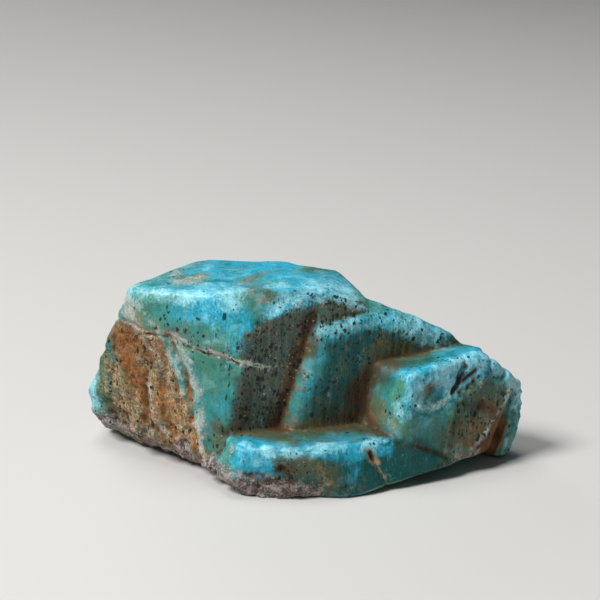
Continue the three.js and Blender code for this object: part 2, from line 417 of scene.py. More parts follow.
    def beyond(self, spot: Point, towards: Point, soft: float = 1.5) -> np.ndarray:
        """How far past a plane each vertex lies.

        Args:
            spot: A point of the plane.
            towards: The side that counts, as a direction.
            soft: The width of the fade, in millimetres.

        Returns:
            1 past the plane, 0 before it.
        """
        direction = np.array(towards) / np.linalg.norm(towards)
        travel = (self.points - np.array(spot)) @ direction
        travel += 0.5 * soft * grain(self.points, 1.8, 4.9)
        return smoothstep(travel, -0.5 * soft, 0.5 * soft)

    def coat(
        self, tint: Tint, strength: float, face: Face, reach: float = 1.6, where: np.ndarray | float = 1.0
    ) -> None:
        """Lay a tint over a crystal face.

        Args:
            tint: The tint.
            strength: How strong it is.
            face: The face.
            reach: How far behind the face it still takes.
            where: The share of each vertex that takes part.
        """
        self.lay(tint, strength * face.value.share(self, reach) * where)

    def write(self) -> None:
        """Store every tint as an attribute of the mesh."""
        for tint, values in self.tints.items():
            layer = self.mesh.attributes.new(tint.value, "FLOAT", "POINT")
            layer.data.foreach_set("value", np.clip(values, 0.0, 1.0).astype(np.float32))


# ------------------------------------------------------------------ regions


class Region:
    """A part of the stone with its own relief and stains."""

    def weather(self, surface: Surface) -> None:
        """Shape the region's relief."""

    def stain(self, surface: Surface) -> None:
        """Tint the region."""


@dataclass(frozen=True)
class Channel:
    """The channel that parts the broken wing from the clean front."""

    spot: Point = (-28.2, -8.7, 29.4)
    wing_side: Point = (-0.928, 0.0, -0.373)
    tip_height: float = 14.0

    def wing_area(self, points: np.ndarray) -> np.ndarray:
        """How much each point lies on the broken wing: past the channel and under the vein.

        Args:
            points: Places on the stone.

        Returns:
            1 on the wing, about a third at its tip, 0 elsewhere.
        """
        under_vein = smoothstep(-Face.VEIN.value.depth(points), 0.2, 1.2)
        past_channel = smoothstep((points - np.array(self.spot)) @ np.array(self.wing_side), -0.4, 0.6)
        on_wing = 1.0 - smoothstep(Face.BROKEN_WING.value.depth(points), 4.0, 6.0)
        from_tip = points[:, 0] - 0.3 * np.abs(points[:, 2] - self.tip_height)
        before_tip = smoothstep(from_tip, -43.5, -39.0)
        return on_wing * past_channel * under_vein * (0.35 + 0.65 * before_tip)


@dataclass(frozen=True)
class Whole(Region):
    """What all crystals share: wavy faces, striations, nicked edges, broken rims."""

    wave_height: float = 0.34
    wave_size: float = 7.0
    line_height: float = 0.105
    line_size: float = 1.15
    line_stretch: float = 14.0
    line_lean: float = 0.05
    nick_depth: float = 0.75
    nick_size: float = 2.6
    rim_lump: float = 0.55
    edge_wear: float = 0.4
    wear_rounds: int = 70
    plumpness: float = 0.35
    underside: CrystalFace = CrystalFace(-132, -45, 10.6)
    left_bulge: Route = ((-36.6, 0.4, 31), (-40.6, 3.4, 24), (-43.4, 6.6, 16), (-43.9, 8, 11))
    channel: Channel = Channel()

    def broken(self, surface: Surface) -> np.ndarray:
        """How broken the surface is at each vertex: the wing, the lower rim and the back.

        Args:
            surface: The stone's surface.

        Returns:
            A number from 0 to 1 for each vertex.
        """
        points = surface.points
        on_wing = self.channel.wing_area(points)
        low = (1.0 - smoothstep(points[:, 2], 3.0, 6.5)) * (1.0 - 0.8 * smoothstep(points[:, 0], -6.0, 6.0))
        back = smoothstep(points[:, 1] + 3.2 - 0.25 * points[:, 0], 9.0, 13.0)
        back *= 1.0 - smoothstep(points[:, 2], 35.0, 37.5)
        return np.clip(np.maximum.reduce([on_wing, low, back]), 0.0, 1.0)

    def weather(self, surface: Surface) -> None:
        """Shape the relief that every crystal has.

        Args:
            surface: The stone's surface.
        """
        points = surface.points
        broken = self.broken(surface)
        clean = 1.0 - broken
        surface.grind(self.underside, surface.beyond((-20.0, 0.0, 0.0), (-1.0, 0.0, 0.0), 3.0))
        surface.crease(self.left_bulge, 3.6, 0.7)
        surface.lift += self.plumpness
        surface.lift += self.wave_height * grain(points, self.wave_size) * clean
        lines, steep = self._striations(surface)
        surface.lift += self.line_height * lines * steep * clean
        surface.lift -= self.edge_wear * np.maximum(surface.bulge(self.wear_rounds), 0.0)
        nicks = smoothstep(surface.bulge(10), 0.06, 0.22)
        nicks = nicks * smoothstep(grain(points, self.nick_size, 2.4), 0.0, 0.55)
        surface.lift -= self.nick_depth * nicks
        rough = grain(points, 2.4, 1.3) + 0.6 * grain(points, 1.1, 4.4) + 0.35 * grain(points, 0.6, 8.1)
        surface.lift += self.rim_lump * rough * broken

    def _striations(self, surface: Surface) -> tuple[np.ndarray, np.ndarray]:
        """Fine upright lines, and how steep each face is.

        Args:
            surface: The stone's surface.

        Returns:
            The lines, to both sides of 0, and a steepness from 0 to 1.
        """
        along = np.array([self.line_lean, 0.0, 1.0])
        along /= np.linalg.norm(along)
        drawn = stretched(surface.points, along, self.line_stretch)
        lines = grain(drawn, self.line_size, 5.7) + 0.6 * grain(drawn, 0.55 * self.line_size, 9.2)
        return lines, 1.0 - smoothstep(np.abs(surface.normals[:, 2]), 0.45, 0.8)

    def stain(self, surface: Surface) -> None:
        """Tint the whole stone: painted highlights on edges, painted shade with some dirt in hollows,
        stained broken ground.

        Args:
            surface: The stone's surface.
        """
        points = surface.points
        broken = self.broken(surface)
        surface.tints[Tint.BROKEN] = broken
        surface.tints[Tint.LEVEL] = smoothstep(surface.normals[:, 2], 0.7, 0.9)
        ridge, hollow = surface.bulge(14), surface.bulge(60)
        patch = grain(points, 5.0, 6.6)
        highlight_patches = 0.6 + 0.8 * grain(points, 2.8, 8.8)
        low = (1.0 - smoothstep(points[:, 2], 1.0, 5.5)) * broken
        # Painted highlights: lighter blue and pale on every ridge and edge, in patches.
        surface.lay(Tint.SKY, 0.4 * smoothstep(ridge, 0.03, 0.2) * (1.0 - 0.8 * broken))
        surface.lay(Tint.BLOOM, 0.4 * highlight_patches * smoothstep(ridge, 0.08, 0.3) * (1.0 - 0.5 * broken))
        surface.lay(Tint.OLIVE, 0.3 * smoothstep(grain(points, 4.2, 3.6), 0.05, 0.55))
        surface.lay(Tint.DEEP, 0.35 * smoothstep(grain(points, 5.5, 5.1), 0.05, 0.5))
        surface.lay(Tint.BLOOM, 0.25 * smoothstep(grain(points, 3.0, 9.4), 0.15, 0.6) * (1.0 - broken))
        # Darker in hollows and creases: painted shade, with some dirt and stain.
        surface.lay(Tint.UMBER, 0.45 * smoothstep(-ridge, 0.03, 0.13))
        surface.lay(Tint.UMBER, 0.5 * smoothstep(-hollow, 0.2, 0.9))
        surface.lay(Tint.OLIVE, 0.8 * smoothstep(-hollow, 0.0, 0.5))
        surface.lay(Tint.SPECK, 0.1 * smoothstep(grain(points, 6.0, 1.1), -0.2, 0.4))
        surface.lay(Tint.OLIVE, 0.45 * broken * smoothstep(patch, -0.4, 0.4))
        surface.lay(Tint.RUST, 0.55 * broken * smoothstep(grain(points, 6.5, 2.2), 0.0, 0.5))
        surface.lay(Tint.TAN, 0.45 * broken * smoothstep(grain(points, 4.0, 7.7), 0.0, 0.5))
        surface.lay(Tint.CRUST, 0.8 * low)


@dataclass(frozen=True)
class MainCrystal(Region):
    """The tall crystal: bright top and front, a vein, and a gloomy right face."""

    bevel: CrystalFace = CrystalFace(-82.3, 28.2, 23.25)
    bevel_foot: Point = (-3.9, -11.6, 34.7)
    vein_step: float = 0.65
    vein: Route = (
        (-36.6, -0.6, 27.5), (-31.7, -6.1, 29.2), (-28.9, -8.7, 29.9), (-26.2, -10.1, 29.9),
        (-23.5, -11.1, 28.9), (-21.3, -11.2, 27.6), (-18.4, -12.3, 27.1), (-15.8, -13.1, 26.7),
        (-13.5, -14, 26.1), (-11.2, -14.4, 25.3), (-9.3, -13.6, 24.6), (-6.5, -12.4, 23.5),
    )
    left_ridge: Route = (
        (-28.2, -8.7, 29.4), (-26.9, -9.5, 26.6), (-25.3, -10.3, 23.5), (-24, -11.2, 20.4),
        (-23.7, -11.6, 18.1),
    )
    channel: Route = (
        (-26.5, -10.1, 29.5), (-24.9, -10.2, 26.5), (-23.3, -11, 23.7), (-22.3, -11.2, 19),
        (-22.3, -12, 16.8), (-21.5, -12.9, 11), (-21.6, -12.8, 7),
    )
    right_ridge: Route = (
        (-24.9, -10, 28.5), (-23.6, -10.7, 25.3), (-22, -11.6, 22.6), (-21, -12.4, 19.4),
        (-20.4, -12.9, 15.1), (-20.5, -13.2, 12.4), (-20.3, -13.1, 9.6), (-19.6, -13.4, 6.1),
    )
    top_streak: Route = (
        (-12.5, -6.8, 38.6), (-10, -3, 38.9), (-8.2, -1.4, 39.1), (-4.9, -1.5, 39.1), (-1, -3.4, 38.7),
        (2.9, -5.3, 38.2), (4, -7.6, 37.9),
    )

    groove: Route = ((3.2, -8.6, 35), (0.6, -9.8, 32.2), (-1.7, -10.4, 23.2), (-5.9, -11.9, 11.8))
    bright_edge: Route = ((-6, -12.2, 35.6), (-3, -10.6, 36.4), (0, -9.8, 36.8), (2.4, -9, 37.2))
    foot_dent: Route = ((-15.4, -15.4, 11.2), (-16.4, -15.9, 7.4))
    tan_ring: Route = ((-23, -4.6, 38.3), (-21.6, -4, 38.4))
    right_glow: Route = ((2.6, -1.8, 38.6), (5, -1, 38.5))
    right_corner: Route = ((4.6, -4.2, 38.1), (6.9, -3.2, 37.6))

    def weather(self, surface: Surface) -> None:
        """Raise the vein and the ridges beside the channel.

        Args:
            surface: The stone's surface.
        """
        surface.grind(self.bevel)
        surface.crease(self.vein, 0.4, 0.2)
        under_vein = tuple((x, y, z - self.vein_step) for x, y, z in self.vein[:-1])
        surface.crease(under_vein, 0.45, -0.42)
        surface.crease(self.left_ridge, 0.8, 0.3)
        surface.crease(self.channel, 0.8, -0.5)
        surface.crease(self.right_ridge, 0.8, 0.3)
        surface.crease(self.foot_dent, 1.1, -0.8)

    def stain(self, surface: Surface) -> None:
        """Tint the main crystal.

        Args:
            surface: The stone's surface.
        """
        self._top(surface)
        self._front(surface)
        self._right_face(surface)

    def _top(self, surface: Surface) -> None:
        """Bright blue, with tan rings, a pale yellow streak and painted highlights along the front edge.

        Args:
            surface: The stone's surface.
        """
        brush = surface.brush
        surface.coat(Tint.SKY, 0.8, Face.MAIN_TOP_LEFT)
        surface.coat(Tint.SKY, 0.75, Face.MAIN_TOP_RIGHT)
        brush(Tint.SKY, -0.85, 6.5, (-31, -3, 38), (-26, 4, 38.8))
        brush(Tint.CHALK, 0.5, 3.4, (-31, -3, 38), (-26, -4, 38.3))
        brush(Tint.CHALK, 0.5, 2.6, (-24.9, 2.2, 38.6), (-23, 4.4, 38.9))
        brush(Tint.TAN, 0.7, 2.0, (-22.5, -4.3, 38.3), (-21.6, -2, 38.5))
        brush(Tint.SKY, -0.6, 3.0, (-13.6, -4, 38.8), (-9, -6, 38.6), (-4, -6.6, 38.6))
        brush(Tint.SKY, -0.8, 3.0, (1, 1.6, 38.8), (5.2, 1.6, 38.6), patchy=0.4)
        brush(Tint.DEEP, 0.5, 2.6, (2, 1, 38.8), (5.6, 0.6, 38.4))
        brush(Tint.OLIVE, 0.4, 2.4, (-13, -5, 38.8), (-8, -7.4, 38.6))
        brush(Tint.SKY, -0.5, 3.4, (-16, 4, 39), (-11.9, -1, 39))
        brush(Tint.OLIVE, 0.35, 3.6, (-27, 3, 38.6), (-21, 6, 39))
        brush(Tint.DEEP, 0.3, 3.0, (-9, 3, 39.1), (-1, 1, 39), (5, -2, 38.4))
        # Painted highlights along the top's front edge.
        brush(Tint.BLOOM, 0.5, 1.8, (-12, -8.8, 38.4), (-6, -7.8, 38.4), (0, -7.2, 38.2))
        brush(Tint.BLOOM, 0.6, 1.6, (-20, -7, 38.2), (-16.8, -8.8, 38.3), (-13, -10.4, 38.2))
        brush(Tint.BLOOM, 0.5, 1.4, (-14, 0.6, 39), (-16.8, 3, 39))
        brush(Tint.OLIVE, 0.5, 2.4, (-14, 1.6, 39), (-6, 5, 39.3), (4, 4.6, 38.9))
        brush(Tint.BLOOM, 0.3, 3.0, (-17, -6, 38.5), (-20, 1, 38.8))
        brush(Tint.SKY, -0.9, 3.2, *self.tan_ring, patchy=0.4)
        brush(Tint.CHALK, 0.65, 2.8, *self.tan_ring, patchy=0.6)
        brush(Tint.TAN, 0.5, 2.2, (-22.3, -4.5, 38.3))
        brush(Tint.SKY, 0.6, 2.6, *self.right_glow)
        brush(Tint.DEEP, -0.7, 2.6, *self.right_glow)
        brush(Tint.OLIVE, 0.5, 2.4, (-22.3, -4, 38.3), (-24, -2, 38.5))
        brush(Tint.BLOOM, 0.5, 1.6, (-21.8, 6, 39), (-25, 4.4, 38.8))
        brush(Tint.OLIVE, 0.45, 1.8, (-20.6, 5, 39), (-24, 3, 38.8))
        brush(Tint.RUST, 0.6, 0.8, (-19.6, -1.5, 38.6), (-16.9, -1.8, 38.7))
        brush(Tint.TAN, 0.6, 1.3, (-20, -1.5, 38.6), (-16.6, -1.8, 38.7))
        brush(Tint.OLIVE, 0.85, 1.7, (-11, -9.4, 38.5), (-9, -11.4, 38.2), (-7.6, -10.7, 38.2))
        brush(Tint.AMBER, 0.4, 1.1, (-10.2, -10.2, 38.4), (-8.6, -11.4, 38.2))
        brush(Tint.AMBER, 0.5, 1.2, (-8.4, -12.4, 37.3), (-6.8, -12.2, 36.8))
        brush(Tint.OLIVE, 0.6, 2.6, (-10, -12, 37.6), (-5, -11, 37.2), (-2, -10, 37.2))
        brush(Tint.SPECK, 0.9, 0.9, (-5.5, -11.5, 37.1), (-4.7, -11.4, 36.4))
        brush(Tint.DEEP, -0.7, 3.0, *self.right_corner)
        brush(Tint.SKY, 0.6, 3.0, *self.right_corner)
        brush(Tint.BLOOM, 0.45, 2.8, (3.4, -6, 38), (6.9, -3.2, 37.6))
        brush(Tint.TAN, 0.7, 0.8, *self.top_streak)
        brush(Tint.OLIVE, 0.6, 1.4, (-12.5, -6.8, 38.6), (-8.2, -1.4, 39.1), (-5, -0.9, 39.1))
        brush(Tint.OLIVE, 0.6, 1.5, (1, 3.2, 38.9), (4.7, 4.5, 38.8))
        # Painted highlight along the top's front left edge.
        brush(
            Tint.BLOOM, 0.75, 1.8, (-33.6, -6, 37.6), (-25.4, -9.4, 37.8), (-18.9, -11.2, 38),
            (-13.8, -12.6, 37.8),
        )

    def _front(self, surface: Surface) -> None:
        """Light blue under the top edge, teal below, streaked and specked.

        Args:
            surface: The stone's surface.
        """
        brush = surface.brush
        surface.coat(Tint.DEEP, 0.15, Face.MAIN_FRONT)
        brush(Tint.SKY, 0.9, 3.0, (-24, -10.2, 36), (-20, -11.4, 35.8), (-15, -13, 35.6))
        brush(Tint.BLOOM, 0.35, 2.4, (-22, -10.8, 35.6), (-18.5, -11.9, 35), (-16, -12.8, 35.6))
        brush(Tint.SKY, 0.5, 2.4, (-13, -14, 33), (-12.6, -14.4, 29))
        brush(Tint.OLIVE, 0.35, 2.6, (-26.4, -9.8, 33.6), (-22.6, -11, 33))
        brush(Tint.BLOOM, 0.75, 1.5, (-13.5, -13.3, 37.3), (-13.6, -13.5, 35.7))
        brush(Tint.BLOOM, 0.7, 2.2, (-34.6, -5.6, 37.4), (-33.4, -6.9, 36))
        brush(Tint.CHALK, 0.8, 2.6, (-34.6, -5.4, 35.4), (-34.8, -5, 32), (-35, -4.4, 29.6))
        brush(Tint.CHALK, 0.7, 1.1, (-32.1, -7.6, 34.9), (-30, -8.6, 32.1), (-28.3, -9, 29.6))
        brush(Tint.TAN, 0.6, 2.2, (-33.2, -6.2, 33.4), (-32.6, -6.4, 30.6))
        brush(Tint.OLIVE, 0.7, 3.0, (-33.6, -5.6, 33), (-31.6, -7, 30.4))
        brush(Tint.TAN, 0.4, 0.8, (-23.3, -10.4, 35.7), (-23.3, -10.6, 32.5))
        brush(Tint.OLIVE, 0.45, 2.6, (-26, -9.9, 31.5), (-20, -11.9, 30), (-15, -13.3, 28.4))
        brush(Tint.GLOOM, 0.55, 1.3, (-28.6, -9, 30.8), (-26, -10.1, 30.6), (-24, -11, 29.8))
        brush(Tint.SPECK, 0.6, 3.0, (-28, -9, 33.5), (-26, -9.9, 31.5), (-22, -11, 29.6))
        brush(Tint.SPECK, 0.5, 2.0, (-18, -12.5, 29), (-14.5, -13.6, 27.8))
        brush(Tint.DEEP, 0.35, 4.0, (-19, -12.4, 23), (-18, -12.8, 17), (-18.6, -12.9, 11))
        brush(Tint.SKY, 0.4, 2.0, (-13.8, -14.4, 24), (-14.6, -14.3, 19), (-17, -14.2, 12.5))
        brush(Tint.BLOOM, 0.35, 2.4, (-20.4, -11.8, 31), (-16.4, -13, 30.4))
        brush(Tint.TAN, 0.8, 0.8, *self.vein, soft=0.5)
        brush(Tint.RUST, 0.5, 1.2, *self.vein[2:7])
        brush(Tint.CHALK, 1.0, 0.75, *self.vein[3:], soft=0.5, patchy=0.5)
        brush(Tint.CRUST, 0.9, 0.8, *self.vein[3:7], soft=0.5)
        brush(Tint.CHALK, 0.7, 0.9, *self.left_ridge)
        brush(Tint.BLOOM, 0.3, 0.8, *self.left_ridge)
        brush(Tint.BLOOM, 0.3, 0.9, *self.right_ridge)
        brush(Tint.CHALK, 0.95, 1.3, *self.right_ridge)
        brush(Tint.SKY, -0.8, 2.0, *self.channel)
        brush(Tint.OLIVE, 0.9, 1.5, *self.channel[:4])
        brush(Tint.OLIVE, 0.9, 1.0, *self.channel[3:])
        brush(Tint.TAN, 0.5, 1.1, *self.channel[:4])
        brush(Tint.AMBER, 0.8, 0.9, *self.channel[3:])
        brush(Tint.OLIVE, 0.9, 2.2, (-15.2, -14.8, 12.4), (-16.2, -14.9, 11), (-16.8, -15.2, 7.4))
        brush(Tint.UMBER, 0.8, 1.3, (-14.6, -15.4, 11.4), (-15.4, -15.6, 10.2), (-16.4, -16, 6.8))
        brush(Tint.OLIVE, 0.45, 3.4, (-18, -14, 12), (-18.4, -13.8, 8))
        brush(Tint.OLIVE, 0.6, 2.0, (-14.6, -15.2, 12.4), (-12.6, -14.8, 12))
        brush(Tint.UMBER, 0.35, 1.6, (-14.8, -15.2, 12), (-12.8, -14.9, 11.6))

    def _right_face(self, surface: Surface) -> None:
        """Dark grey olive with dense black specks, browner towards the groove, a painted highlight on top.

        Args:
            surface: The stone's surface.
        """
        brush = surface.brush
        under_bevel = surface.beyond(self.bevel_foot, (0.33, 0.0, -0.94), 2.4)
        surface.coat(Tint.GLOOM, 0.95, Face.MAIN_FRONT_RIGHT, 2.2, under_bevel)
        surface.coat(Tint.SPECK, 1.0, Face.MAIN_FRONT_RIGHT, 2.2, under_bevel)
        brush(Tint.SKY, 0.7, 2.4, (-11.4, -13.4, 35.6), (-7, -12.4, 36.2), (-1, -9.8, 37), (3, -8.6, 37.4))
        brush(Tint.BLOOM, 0.4, 1.3, (-6.4, -12.6, 34.8), (-3, -10.9, 36), (1.6, -9, 36.8))
        brush(Tint.OLIVE, 0.5, 1.8, (-9.6, -13.2, 36), (-6.4, -12.2, 36.6))
        brush(
            Tint.UMBER, 0.55, 2.6, (-11.2, -14.2, 21), (-11.8, -14.4, 18.4), (-12.6, -14.6, 15), patchy=0.4,
        )
        brush(Tint.DEEP, 0.6, 2.6, (-10.6, -14, 20), (-11.6, -14, 15))
        brush(Tint.SKY, 0.7, 1.3, (-10.6, -14.2, 34.2), (-11.6, -14.7, 31), (-12.6, -14.7, 28))
        brush(Tint.GLOOM, -0.5, 1.6, (-11.4, -14.4, 29), (-13.6, -14.6, 18), (-16, -14.5, 10))
        brush(Tint.RUST, 0.55, 1.6, (-0.6, -10.2, 28), (-2, -10.6, 23), (-3.6, -11.1, 18.5))
        brush(Tint.RUST, 0.5, 1.2, (3.6, -8.4, 37), self.groove[0])
        brush(Tint.RUST, 0.5, 2.0, *self.groove[1:])
        brush(Tint.AMBER, 0.35, 1.4, *self.groove)
        brush(Tint.UMBER, 0.4, 3.0, *self.groove[1:], soft=1.0, patchy=0.6)
        brush(Tint.UMBER, 0.7, 1.3, (2.4, -9, 34.2), *self.groove[1:], soft=1.0, patchy=0.4)
        # Painted highlight along the edge under the top: stains taken off, light blue and pale laid on.
        for tint in (Tint.UMBER, Tint.RUST, Tint.GLOOM):
            brush(tint, -0.7, 2.0, *self.bright_edge, patchy=0.4)
        brush(Tint.SKY, 0.6, 2.0, *self.bright_edge)
        brush(Tint.BLOOM, 0.55, 1.7, *self.bright_edge)
        brush(Tint.TAN, 0.35, 2.6, (-10, -14, 32), (-6.4, -12.6, 30.4))
        brush(Tint.RUST, 0.35, 2.6, (-8.3, -13.1, 23), (-4.5, -11.6, 24.6), (-5, -11.8, 19))
        brush(Tint.OLIVE, 0.5, 3.4, (-11.6, -14.3, 14.6), (-8, -12.8, 13))
        brush(Tint.CRUST, 0.4, 0.7, (-9.3, -13.6, 24.6), (-4.9, -11.7, 23), (-2, -10.9, 21.6))


@dataclass(frozen=True)
class Wing(Region):
    """The broken end at the left: ribbed, rusty, with a pale crust along its foot."""

    pale_rib: Route = (
        (-30.7, -5.3, 19), (-30.5, -5.3, 15.4), (-29.9, -5.3, 12.2), (-29, -5.6, 9.8), (-27.4, -6.7, 7.6),
    )
    rusty_rib: Route = (
        (-33.6, -2.4, 21.5), (-32.4, -4, 18.5), (-31.9, -4.4, 15.2), (-31.5, -4.4, 12.3), (-30.6, -4.9, 8),
    )
    crust: Route = (
        (-42.6, 7, 6.8), (-39.7, 5.8, 5.3), (-36.3, 3.5, 4.8), (-32.7, -1.7, 6), (-30.1, -4.9, 5.6),
        (-27.8, -5.8, 4.8), (-24.2, -8.2, 5.2), (-22.1, -10.6, 5.6),
    )
    rusty_patch: Route = ((-35.6, -1.4, 25.5), (-34.2, -2.6, 22), (-33.6, -2.4, 18))
    left_tip: Route = ((-42.6, 4.8, 19), (-43.6, 6.6, 11), (-42, 5, 9.6))
    rib_height: float = 0.42
    lump_height: float = 0.3
    channel: Channel = Channel()

    def weather(self, surface: Surface) -> None:
        """Rib the wing and lump its crust.

        Args:
            surface: The stone's surface.
        """
        share = self.channel.wing_area(surface.points)
        ribs = grain(stretched(surface.points, UPRIGHT, 5.0), 1.5, 7.3)
        ribs += 1.5 * grain(stretched(surface.points, UPRIGHT, 4.0), 3.6, 2.9)
        ribs += 0.5 * grain(stretched(surface.points, UPRIGHT, 3.0), 0.7, 1.9)
        surface.lift += self.rib_height * ribs * share
        surface.crease(self.pale_rib, 0.6, 0.5)
        surface.crease(self.rusty_rib, 0.7, -0.45)
        lumps = surface.near(self.crust, 2.2)
        surface.lift += self.lump_height * lumps * (0.5 + grain(surface.points, 0.9, 5.5))

    def stain(self, surface: Surface) -> None:
        """Tint the wing.

        Args:
            surface: The stone's surface.
        """
        brush = surface.brush
        area = self.channel.wing_area(surface.points)
        streaky = grain(stretched(surface.points, UPRIGHT, 4.0), 2.2, 3.3)
        surface.lay(Tint.OLIVE, 0.75 * area)
        surface.lay(Tint.TAN, area * (0.45 + 0.5 * smoothstep(streaky, -0.3, 0.3)))
        surface.lay(Tint.RUST, 0.6 * area * smoothstep(-streaky, -0.05, 0.4))
        surface.lay(Tint.AMBER, 0.3 * area)
        surface.lay(Tint.SPECK, 0.3 * area)
        brush(Tint.TAN, -0.6, 3.4, *self.rusty_patch, soft=0.5)
        brush(Tint.RUST, 1.0, 3.6, *self.rusty_patch, soft=0.5)
        brush(Tint.RUST, 0.9, 2.0, (-36.8, -0.4, 27.4), (-34, -3.6, 27), (-31.4, -5.6, 25.4))
        brush(Tint.RUST, 0.9, 2.0, (-33, -3.2, 18), (-31.6, -4.6, 14), (-31, -4.8, 9))
        brush(Tint.AMBER, 0.4, 3.0, (-28.2, -7.2, 17), (-26.8, -7.5, 11.6), (-25.4, -8.2, 8))
        brush(Tint.AMBER, 0.3, 2.4, (-36, -0.8, 26), (-33.6, -2.6, 20), (-31.8, -4.4, 12))
        brush(Tint.TAN, -0.85, 3.8, *self.left_tip)
        brush(Tint.RUST, -0.85, 3.8, *self.left_tip)
        brush(Tint.OLIVE, -0.7, 2.4, (-43, 6, 14), (-43.6, 6.6, 10.6))
        brush(Tint.SPECK, 0.8, 1.0, (-40, 2.6, 21.6), (-40.8, 3.6, 18.6))
        # Pale tip with a painted rim light along its outline.
        brush(Tint.SKY, 0.4, 2.2, (-43.4, 6.2, 13.5), (-43.9, 7.6, 10))
        brush(Tint.CHALK, 0.6, 1.8, (-40.6, 3.4, 24), (-43.2, 6.6, 18), (-44.1, 8.2, 11))
        brush(Tint.BLOOM, 0.6, 2.6, (-43.4, 6.4, 14), (-43.9, 7.4, 10))
        brush(Tint.BLOOM, 0.8, 2.2, (-43.7, 7.4, 15), (-43.4, 6.6, 10.4))
        brush(Tint.OLIVE, 0.75, 2.4, (-40.2, 2.2, 22), (-41.4, 4, 16), (-39.5, 3.8, 11))
        brush(
            Tint.CHALK, 0.6, 1.8, (-31.1, -6.3, 27.9), (-29.5, -6.5, 25.3), (-27.4, -8, 22),
            (-26, -8.6, 17),
        )
        brush(Tint.CHALK, 0.8, 0.8, *self.pale_rib)
        brush(Tint.UMBER, 0.5, 0.9, *self.rusty_rib)
        brush(Tint.CRUST, 0.95, 2.0, *self.crust)
        brush(Tint.CHALK, 0.5, 1.6, *self.crust)
        brush(Tint.RUST, 0.5, 1.2, (-42, 6, 8.4), (-39.5, 5.1, 8.2), (-35.6, 0.8, 9.6))
        brush(Tint.UMBER, 0.5, 1.8, (-38.6, 5.4, 6.2), (-36, 2.6, 6.2), (-34, -0.8, 6.6), soft=1.0)


@dataclass(frozen=True)
class Shoulder(Region):
    """The small crystal between the main one and the middle one."""

    front_middle: Route = ((5.6, -8.7, 35.2), (8.6, -7.6, 34.6))

    def stain(self, surface: Surface) -> None:
        """Tint the shoulder: pale above, olive below, reddish at the left.

        Args:
            surface: The stone's surface.
        """
        brush = surface.brush
        surface.coat(Tint.OLIVE, 0.1, Face.SHOULDER_FRONT)
        brush(Tint.AMBER, 0.25, 1.2, (3.4, -9, 36), (4.6, -8.8, 34.6))
        surface.coat(Tint.BLOOM, 0.3, Face.MAIN_RIGHT_SLOPE)
        surface.coat(Tint.OLIVE, 0.25, Face.MAIN_RIGHT_SLOPE)
        brush(Tint.BLOOM, 0.4, 2.4, (5.8, -7.6, 36.8), (7.8, -5, 36.8), (9.4, -6.4, 35))
        brush(Tint.UMBER, -0.7, 2.4, *self.front_middle, patchy=0.3)
        brush(Tint.SPECK, -0.7, 2.4, *self.front_middle, patchy=0.3)
        brush(Tint.OLIVE, -0.4, 2.4, *self.front_middle)
        brush(
            Tint.OLIVE, 0.7, 1.4, (1.9, -9.3, 32.3), (5.1, -9, 33.2), (8.4, -7.6, 33.4), (11.4, -6.3, 33.2),
        )
        brush(Tint.RUST, 0.4, 0.9, (3.5, -9, 36.6), (3, -9.2, 34.6))
        # Painted highlight along the shoulder's top ridge.
        brush(
            Tint.BLOOM, 0.7, 0.8, (5.1, -8.9, 36.8), (7.7, -7.8, 35.8), (10, -6.9, 34.2),
            (11.7, -6.1, 33.6),
        )
        brush(Tint.UMBER, 0.8, 0.7, (1.3, -9.5, 31.7), (6.1, -8.6, 32.6), (11.4, -6.3, 33.1))


